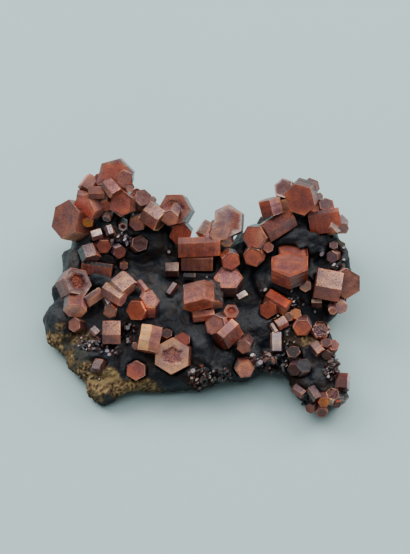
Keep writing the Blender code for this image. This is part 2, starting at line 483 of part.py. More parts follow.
def main():
    """Build the matrix and the crystal clusters."""
    for old in list(bpy.data.objects):
        bpy.data.objects.remove(old)
    parts = bpy.data.collections.new("vanadinite on matrix")
    cutters = bpy.data.collections.new("cutters")
    bpy.context.scene.collection.children.link(parts)
    bpy.context.scene.collection.children.link(cutters)
    clusters = clusters_of_crystals()
    grown = {}
    made = {}
    for cluster, crystals in clusters.items():
        solids = []
        grown[cluster] = []
        for name, frame, corner, flat, length in crystals:
            mesh = crystal_mesh(name, frame, corner, flat, length)
            solids.append(wire(solid(name + " prism", mesh, cutters)))
            fit = crystal_mesh(name + " fit", frame, corner, flat, length, FIT_GAP)
            grown[cluster].append(wire(solid(name + " fit", fit, cutters)))
        whole = solid(cluster.replace(" ", "_"), solids[0].data.copy(), parts)
        combine(whole, solids[1:], "UNION")
        rivals = [fit for other in made for fit in grown[other] if near(whole.data, fit.data)]
        combine(whole, rivals, "DIFFERENCE")
        made[cluster] = painted(whole, TONES.get(cluster, PLAIN_TONE), 0.35)
    matrix = crust(parts, cutters)
    buds = []
    for index, (across, up, height, size, length, heading, lean) in enumerate(BUDS):
        row = ("", "", across, up, height, size, size * 0.866, length, heading, lean, 0)
        name = f"bud {index + 1}"
        mesh = crystal_mesh(name, *capped_frame(row))
        buds.append(wire(solid(name, mesh, cutters)))
    combine(matrix, buds, "UNION")
    combine(matrix, [fit for fits in grown.values() for fit in fits], "DIFFERENCE")
    largest_piece(matrix)
    painted(matrix, MATRIX_TONE, 0.6)
    for whole in parts.objects:
        whole.location = (-CENTRE_X * MM, -CENTRE_Y * MM, 0.0)


main()
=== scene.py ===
"""Vanadinite on matrix: hexagonal crystals on a black oxide crust, lying on a pale table.

Metres, +Z up. Crystals are set out in millimetres on the display plane, which is seen from
62 degrees above the table: across is to the right, up is up that plane, height is above the table.
"""
import json
import logging
import math
import random
from dataclasses import dataclass, field
from enum import Enum
from typing import Iterable, Optional

import bmesh
import bpy
from mathutils import Matrix, Vector, noise
from mathutils.bvhtree import BVHTree


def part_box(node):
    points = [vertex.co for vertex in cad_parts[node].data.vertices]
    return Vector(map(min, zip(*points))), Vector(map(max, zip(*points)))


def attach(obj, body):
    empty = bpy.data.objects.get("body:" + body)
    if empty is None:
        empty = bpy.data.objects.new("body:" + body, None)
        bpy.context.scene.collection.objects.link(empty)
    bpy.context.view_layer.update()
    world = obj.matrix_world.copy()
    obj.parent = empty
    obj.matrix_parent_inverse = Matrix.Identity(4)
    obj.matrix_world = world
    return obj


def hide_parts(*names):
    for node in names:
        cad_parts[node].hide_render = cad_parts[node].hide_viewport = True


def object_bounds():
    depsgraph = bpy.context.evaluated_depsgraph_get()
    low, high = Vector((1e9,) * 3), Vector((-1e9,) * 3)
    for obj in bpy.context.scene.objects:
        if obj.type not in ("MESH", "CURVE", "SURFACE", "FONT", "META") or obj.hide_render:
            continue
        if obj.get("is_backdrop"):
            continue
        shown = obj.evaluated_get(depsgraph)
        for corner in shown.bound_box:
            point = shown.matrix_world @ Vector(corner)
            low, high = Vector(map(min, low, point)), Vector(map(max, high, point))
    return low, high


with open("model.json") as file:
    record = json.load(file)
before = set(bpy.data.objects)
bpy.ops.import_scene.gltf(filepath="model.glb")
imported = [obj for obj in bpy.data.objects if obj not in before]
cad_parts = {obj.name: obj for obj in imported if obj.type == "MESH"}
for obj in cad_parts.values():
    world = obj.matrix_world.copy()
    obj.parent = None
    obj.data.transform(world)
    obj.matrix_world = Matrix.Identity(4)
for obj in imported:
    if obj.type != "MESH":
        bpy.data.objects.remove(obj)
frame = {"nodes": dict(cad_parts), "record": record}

LOG = logging.getLogger("vanadinite")

MM = 0.001
DISPLAY_ELEVATION = math.radians(62.0)
DATUM_HEIGHT = 8.5
CENTRE = Vector((0.147, -0.001, 0.0))
SIN_E = math.sin(DISPLAY_ELEVATION)
COS_E = math.cos(DISPLAY_ELEVATION)
VIEW_RIGHT = Vector((1.0, 0.0, 0.0))
VIEW_UP = Vector((0.0, SIN_E, COS_E))
VIEW_OUT = Vector((0.0, -COS_E, SIN_E))

# Crystals whose end cap shows: name, cluster, cap centre (across, up, height), cap size corner to
# corner and flat to flat, length, then heading (where on the display plane the cap leans to),
# lean (how far) and roll (0 puts a corner of the cap toward the heading).
CAPPED = (
    ("west shoulder", "northwest crystals", -27.0, 14.2, 13.0, 8.2, 7.1, 5.0, 169, 45, -90),
    ("west orange", "northwest crystals", -23.2, 16.3, 15.4, 5.7, 5.2, 6.6, 205, 46, 30),
    ("west amber", "northwest crystals", -22.5, 13.4, 14.0, 2.6, 2.3, 3.2, 260, 40, 0),
    ("peak", "northwest crystals", -17.0, 22.6, 18.5, 7.7, 6.7, 5.0, 215, 4, 40),
    ("peak front", "northwest crystals", -15.2, 22.1, 19.6, 3.9, 3.4, 3.4, 250, 12, 26),
    ("northwest wedge", "northwest crystals", -20.0, 22.2, 18.0, 3.0, 2.4, 3.6, 120, 24, 10),
    ("northwest bud", "northwest crystals", -14.0, 20.4, 18.6, 2.2, 1.9, 3.0, 300, 35, 0),
    ("northwest amber", "northwest crystals", -12.6, 19.7, 16.8, 2.0, 1.8, 3.2, 80, 40, 10),
    ("northwest red face", "northwest crystals", -15.7, 17.2, 18.0, 5.4, 4.6, 5.0, 190, 18, 75),
    ("northwest mauve", "northwest crystals", -11.4, 18.5, 17.0, 4.0, 3.2, 4.4, 60, 30, 17),
    ("northwest tiny", "northwest tiny", -9.4, 18.2, 14.6, 1.8, 1.6, 2.6, 60, 40, 0),
    ("northwest brown", "northwest crystals", -18.8, 16.8, 15.6, 3.0, 2.6, 4.0, 260, 42, 0),
    ("northwest smoky", "northwest crystals", -18.7, 14.2, 13.6, 1.9, 1.7, 3.0, 250, 50, 30),
    ("north red block", "north block", -12.7, 13.2, 13.0, 3.6, 3.2, 3.8, 235, 35, 20),
    ("north crown", "north crown", -5.2, 16.2, 15.8, 6.8, 5.9, 4.6, 150, 14, 30),
    ("north pink", "north crown", -6.1, 14.3, 16.4, 3.8, 3.4, 4.6, 250, 30, 10),
    ("centre back red", "north crown", -3.9, 11.1, 13.2, 4.7, 4.2, 3.8, 250, 12, 60),
    ("north hexagon", "north centre", 5.6, 13.8, 16.0, 6.5, 6.1, 3.6, 170, 7, 36),
    ("north mauve", "north centre", 3.9, 11.2, 16.0, 4.4, 3.0, 4.0, 270, 25, 100),
    ("north finger", "north centre", 5.4, 9.4, 13.6, 2.8, 2.4, 5.4, 270, 48, 30),
    ("north orange", "north orange", 6.2, 5.7, 12.8, 4.1, 3.6, 2.8, 300, 25, 40),
    ("centre hexagon", "centre hexagon", 5.7, 2.5, 11.2, 6.0, 5.3, 3.0, 90, 38, 90),
    ("centre cup", "centre cup", 6.3, -4.2, 11.4, 3.2, 2.8, 3.0, 60, 22, 0),
    ("centre pink", "centre etched", 3.0, -7.1, 10.9, 4.8, 3.9, 3.6, 200, 25, -160),
    ("centre south pink", "centre etched", 8.7, -11.3, 9.8, 3.2, 2.8, 3.4, 240, 25, 20),
    ("south coral", "south coral", 9.0, -15.8, 7.4, 3.9, 3.5, 3.4, 300, 18, 5),
    ("great hexagon", "great hexagon", 17.9, 5.3, 14.0, 7.9, 7.3, 3.5, 90, 47, 0),
    ("great hexagon back", "great hexagon", 18.6, 7.7, 12.4, 6.6, 5.8, 3.4, 90, 47, 5),
    ("east pink disc", "east disc", 10.8, 10.5, 14.6, 5.2, 4.7, 4.4, 200, 20, 40),
    ("east red", "east disc", 10.7, 6.5, 12.5, 4.4, 3.9, 4.0, 250, 25, 35),
    ("east bud", "east disc", 13.7, 8.5, 12.6, 2.7, 2.1, 3.4, 320, 32, 0),
    ("east two tone", "northeast crystals", 13.7, 18.2, 16.6, 5.1, 4.4, 3.3, 105, 84, 0),
    ("northeast great", "northeast crystals", 19.9, 18.0, 19.0, 7.0, 5.6, 4.0, 235, 24, 50),
    ("northeast dark", "northeast crystals", 17.2, 16.6, 15.2, 4.0, 3.4, 4.0, 250, 25, 0),
    ("northeast shade", "northeast crystals", 23.0, 16.9, 15.4, 3.8, 3.2, 4.0, 90, 28, 0),
    ("northeast olive", "northeast crystals", 16.7, 20.4, 17.6, 4.4, 3.8, 4.6, 140, 25, 20),
    ("northeast mauve", "northeast crystals", 22.3, 20.9, 18.2, 3.6, 3.2, 4.0, 60, 30, 40),
    ("northeast grey", "northeast crystals", 24.0, 18.7, 16.6, 1.9, 1.6, 3.0, 20, 40, 0),
    ("northeast pink", "northeast crystals", 25.3, 17.1, 16.0, 3.4, 3.0, 4.0, 80, 32, 20),
    ("east great side", "northeast crystals", 28.0, 13.3, 13.8, 4.6, 3.2, 3.6, 20, 35, 0),
    ("east spur", "northeast crystals", 28.6, 12.3, 13.4, 2.8, 2.1, 3.4, 0, 22, 0),
    ("east mauve bud", "east buds", 26.7, 9.0, 11.8, 2.0, 1.7, 3.0, 90, 30, 0),
    ("east grey bud", "east buds", 26.3, 6.6, 11.4, 2.6, 2.3, 3.0, 200, 20, 10),
    ("east round", "east round", 21.0, 0.8, 11.2, 2.7, 2.4, 3.2, 270, 12, 0),
    ("far east hexagon", "far east", 29.2, 1.3, 11.0, 6.3, 5.6, 3.8, 0, 10, 90),
    ("far east smoky", "far east", 28.2, -3.6, 8.8, 3.0, 2.6, 3.2, 300, 35, 20),
    ("far east coral", "far east", 26.5, -4.2, 8.6, 1.9, 1.6, 2.6, 270, 30, 20),
    ("southeast red", "southeast orange", 13.5, -4.0, 9.0, 3.9, 3.1, 3.4, 200, 20, 10),
    ("southeast amber", "southeast amber", 20.4, -7.6, 8.8, 3.8, 3.4, 3.2, 270, 22, 30),
    ("southeast gold", "southeast gold", 19.1, -4.7, 9.0, 2.5, 2.1, 2.8, 100, 22, 0),
    ("southeast straw", "southeast gold", 17.6, -5.4, 8.7, 2.1, 1.8, 2.8, 200, 25, 0),
    ("southeast rough", "southeast red", 24.2, -7.8, 8.4, 3.8, 3.3, 3.2, 60, 20, 0),
    ("southeast pink", "southeast group", 25.1, -10.4, 8.2, 2.4, 2.1, 3.0, 100, 30, 0),
    ("southeast brown", "southeast group", 26.6, -10.9, 7.4, 2.7, 2.3, 2.8, 60, 30, 10),
    ("southeast purple", "southeast group", 25.2, -13.0, 7.2, 2.4, 2.1, 2.8, 250, 30, 10),
    ("tail dark", "tail top crystals", 18.6, -12.2, 8.0, 2.9, 2.6, 2.8, 100, 30, 10),
    ("tail smoky", "tail top crystals", 20.8, -15.0, 7.8, 3.2, 2.8, 3.2, 60, 25, 10),
    ("tail garnet", "tail top crystals", 18.6, -15.9, 7.0, 3.0, 2.6, 3.0, 230, 35, 10),
    ("tail orange", "tail end crystals", 24.6, -22.3, 6.2, 2.5, 2.2, 2.6, 280, 26, 20),
    ("tail pink", "tail end crystals", 26.4, -20.6, 6.4, 2.9, 2.5, 2.8, 80, 30, 20),
    ("tail amber", "tail end crystals", 27.4, -22.8, 4.8, 1.8, 1.6, 2.2, 300, 40, 0),
    ("tail brown", "tail end crystals", 24.2, -24.4, 4.6, 2.6, 2.3, 2.4, 270, 40, 30),
    ("tail mauve", "tail end crystals", 21.8, -23.6, 4.8, 2.2, 1.9, 2.4, 220, 35, 0),
    ("tail slate", "tail end crystals", 22.5, -21.6, 5.6, 2.0, 1.7, 2.4, 240, 30, 20),
    ("tail shade", "tail end crystals", 28.5, -21.1, 4.8, 3.0, 2.4, 2.8, 30, 35, 20),
    ("west hopper", "west hopper", -24.3, 1.7, 12.2, 6.2, 5.6, 4.2, 30, 32, 22),
    ("west foot", "west foot", -25.1, -6.9, 9.2, 3.1, 2.7, 2.6, 170, 32, -80),
    ("west ember", "west pale", -19.1, 8.6, 12.2, 3.2, 2.8, 3.4, 300, 28, 0),
    ("west ember east", "west pale", -16.0, 7.5, 11.8, 2.9, 2.5, 3.2, 320, 30, 0),
    ("west garnet", "west garnet", -12.0, 9.3, 12.0, 3.6, 3.1, 3.4, 20, 18, 0),
    ("dark ring", "dark ring", -15.4, 12.6, 14.0, 2.0, 1.8, 3.0, 270, 20, 0),
    ("middle rose", "middle crystals", -17.9, -4.4, 11.2, 3.1, 2.6, 3.4, 260, 30, 0),
    ("middle ruby", "middle east", -12.8, -4.1, 12.4, 4.4, 3.8, 3.4, 200, 26, 40),
    ("middle pale east", "middle east", -10.0, -1.7, 13.4, 4.6, 3.0, 4.6, 90, 28, 30),
    ("middle mauve chip", "south tower", -12.8, -11.2, 9.8, 2.0, 1.7, 2.6, 250, 35, 0),
    ("south red bud", "south hopper", -3.5, -9.8, 9.4, 3.4, 3.0, 3.6, 90, 28, 0),
    ("south dark bud", "south hopper", -6.6, -8.6, 9.2, 2.4, 2.1, 3.0, 90, 28, 0),
    ("south hopper", "south hopper", -5.6, -13.1, 10.4, 7.5, 6.8, 4.4, 185, 8, 83),
    ("south hexagon", "south hexagon", -12.8, -16.0, 7.9, 4.1, 3.6, 3.2, 185, 6, 85),
    ("mauve bud", "mauve bud", -15.2, 4.8, 10.2, 2.0, 1.7, 2.4, 270, 20, 0),
)

# Crystals lying with a prism face level: name, cluster, centre of that face (across, up, height),
# face width, thickness, length, then compass of the axis, pitch (positive lifts the far end) and
# bank (positive lowers the right side, looking along the axis).
LYING = (
    ("northwest pale block", "northwest crystals", -17.6, 20.9, 20.6, 2.0, 2.3, 3.4, 306, 0, 0),
    ("northwest bar", "northwest crystals", -20.7, 20.0, 18.8, 1.7, 2.2, 3.2, 2, 0, 0),
    ("northwest small pink", "northwest crystals", -23.4, 19.4, 16.6, 1.2, 2.2, 2.4, 350, 0, 0),
    ("northwest tan", "northwest crystals", -22.1, 21.7, 17.8, 2.0, 3.0, 3.3, 57, 0, 0),
    ("bright chip", "bright chip", -20.7, 11.5, 13.6, 1.4, 1.8, 2.1, 19, 0, 0),
    ("bright chip east", "bright chip east", -18.0, 12.2, 13.8, 1.0, 1.9, 2.0, 108, 0, 0),
    ("north block", "north block", -9.1, 15.9, 17.2, 2.6, 4.8, 3.8, 321, 0, 0),
    ("north plate", "north centre", 0.9, 12.6, 15.2, 1.4, 1.8, 3.3, 61, 0, 0),
    ("north plate low", "north centre", 1.9, 11.9, 14.9, 1.1, 1.8, 3.1, 61, 0, 0),
    ("centre slab", "centre slab", -0.2, 10.0, 15.0, 1.4, 5.7, 8.4, 3, 0, 0),
    ("centre slab low", "centre slab", -0.6, 6.6, 11.6, 0.9, 5.0, 6.4, 0, 0, 0),
    ("centre cube", "centre cube", -1.2, -0.3, 14.0, 4.6, 4.2, 4.4, 272, 0, 25),
    ("centre cube east", "centre cube", 3.6, -0.3, 11.8, 2.6, 3.2, 4.6, 272, 0, -35),
    ("centre wedge", "centre cube", 0.7, -4.6, 9.9, 1.3, 2.2, 4.4, 8, 0, 0),
    ("centre etched", "centre etched", 5.5, -7.6, 12.0, 1.8, 5.2, 4.5, 47, 0, 0),
    ("chip east", "chip east", 8.4, -0.9, 9.9, 1.2, 1.3, 2.1, 32, 0, 0),
    ("middle chip", "middle chip", -5.6, 4.7, 10.6, 2.0, 2.4, 2.7, 0, 0, 0),
    ("middle sliver", "middle sliver", -5.7, 0.4, 9.9, 0.9, 1.3, 2.8, 58, 0, 0),
    ("slate chip", "slate chip", -2.1, 3.0, 9.7, 0.9, 1.3, 2.4, 357, 0, 0),
    ("east bar", "east bar", 15.5, 13.9, 15.6, 2.4, 4.2, 6.7, 36, 0, 0),
    ("east great block", "northeast crystals", 24.6, 15.6, 16.6, 0.9, 8.0, 6.4, 8, 5, 0),
    ("far east pale", "far east", 25.9, 2.2, 13.0, 4.0, 5.2, 5.2, 352, -8, 0),
    ("southeast box", "southeast box", 23.3, -2.2, 9.0, 0.8, 2.0, 2.1, 0, 0, 0),
    ("southeast orange", "southeast orange", 15.6, -1.6, 9.8, 1.8, 3.6, 5.0, 325, 0, 0),
    ("southeast chip", "southeast chip", 16.2, -6.2, 8.6, 1.7, 1.8, 2.2, 32, 0, 0),
    ("southeast sliver", "southeast chip", 14.8, -7.4, 8.2, 0.6, 1.2, 2.2, 299, 0, 0),
    ("southeast pale bar", "southeast chip", 15.3, -10.2, 7.9, 1.8, 1.5, 4.3, 90, 0, 0),
    ("southeast striped", "southeast group", 23.3, -11.3, 8.4, 1.6, 1.8, 2.6, 307, 0, 0),
    ("tail box", "tail box", 28.4, -17.9, 6.4, 1.9, 2.0, 3.4, 85, 0, 0),
    ("tail west", "tail west", 19.7, -19.7, 5.6, 1.2, 1.8, 2.6, 320, 0, 0),
    ("tail pale", "tail end crystals", 22.8, -20.2, 6.6, 1.4, 1.8, 3.0, 301, 0, 0),
    ("west dark red", "west dark red", -20.6, 5.2, 11.4, 0.8, 4.2, 6.2, 350, 0, 0),
    ("west plate", "west hopper", -21.3, -0.8, 11.6, 0.9, 3.0, 3.8, 38, 0, 0),
    ("west pale", "west pale", -22.1, 8.0, 12.8, 2.2, 3.4, 2.9, 288, 0, 0),
    ("west peach", "west hopper", -24.8, -1.7, 11.8, 2.6, 3.8, 3.4, 266, 12, 0),
    ("middle step", "middle crystals", -17.3, 0.0, 14.0, 1.5, 3.2, 4.6, 322, 6, 0),
    ("middle pale", "middle crystals", -15.4, 1.8, 14.8, 3.1, 3.6, 3.6, 313, 0, 0),
    ("middle tan", "middle east", -11.3, 1.1, 13.8, 0.7, 2.0, 2.8, 305, 0, 0),
    ("middle smoky bar", "middle crystals", -18.3, -2.2, 11.6, 0.9, 1.4, 2.2, 295, 0, 0),
    ("southwest block", "southwest block", -17.6, -7.5, 11.4, 3.2, 3.8, 3.6, 0, 0, 0),
    ("south tower", "south tower", -11.0, -9.3, 12.6, 2.4, 4.4, 5.2, 79, 20, -25),
    ("southwest chip", "southwest chip", -20.9, -7.9, 9.3, 1.2, 1.3, 1.8, 312, 0, 0),
    ("southwest mauve", "southwest mauve", -20.5, -14.7, 7.6, 1.8, 1.8, 2.6, 70, 0, -20),
)


class Tint(Enum):
    """Colours of the minerals, the table and the painted edge highlight, as sRGB hex."""

    IVORY = "#E8D4B8"
    CHALK = "#C4BEC0"
    STRAW = "#BC9C74"
    SAND = "#A8907F"
    HONEY = "#C07C44"
    BRONZE = "#86562C"
    EMBER = "#983E1E"
    APRICOT = "#D8AA96"
    FROST = "#A09AA4"
    PEACH = "#C49088"
    CORAL = "#B48074"
    SILVER = "#8C868C"
    FLAME = "#C8745C"
    CREAM = "#987E74"
    ORANGE = "#B8705C"
    BEIGE = "#A07264"
    GOLD = "#D89C48"
    AMBER = "#B98A4E"
    LILAC = "#867476"
    ROSE = "#906862"
    TAN = "#806660"
    HAZE = "#70666C"
    RUST = "#AA543E"
    COPPER = "#94584C"
    DUSK = "#77544C"
    MAUVE = "#675959"
    BROWN = "#784C44"
    GREY = "#605054"
    RED = "#7C4030"
    PINK = "#68423C"
    PLUM = "#543C3E"
    CLARET = "#6C3828"
    SMOKE = "#382E36"
    SHADE = "#442A2A"
    WINE = "#602414"
    DEEP = "#48160E"
    INK = "#1C1C26"
    GARNET = "#300E0C"
    DARK = "#1A0608"
    SLATE = "#182127"
    OLIVE = "#4A4029"
    # EDGE is the painted highlight laid along crystal edges.
    EDGE = "#C08A6C"
    CRUST = "#181B22"
    OCHRE = "#6A543A"
    LIMONITE = "#9C845A"
    STONE = "#383933"
    UMBER = "#2A1B10"
    TABLE = "#AAC4C6"


class Habit(Enum):
    """How a crystal's faces grew."""

    SMOOTH = "smooth"
    ETCHED = "etched"
    STRIATED = "striated"
    HOPPER = "hopper"
    TERRACED = "terraced"
    RAGGED = "ragged"


@dataclass(frozen=True)
class Look:
    """Tints of one crystal's faces and its habit; the tints hold painted light and shade as well as the
    crystal's own colour.

    Args:
        cap: middle of the end faces.
        rim: edge of the end faces.
        level: side faces that lie nearly level, often paler for a painted sheen.
        front: side faces toward the front, with painted light and shade.
        left: side faces toward the left, with painted light and shade.
        right: side faces toward the right, with painted light and shade.
        far: right half of the end faces, where it differs.
        habit: growth texture.
    """

    cap: Tint
    rim: Optional[Tint] = None
    level: Optional[Tint] = None
    front: Optional[Tint] = None
    left: Optional[Tint] = None
    right: Optional[Tint] = None
    far: Optional[Tint] = None
    habit: Habit = Habit.SMOOTH


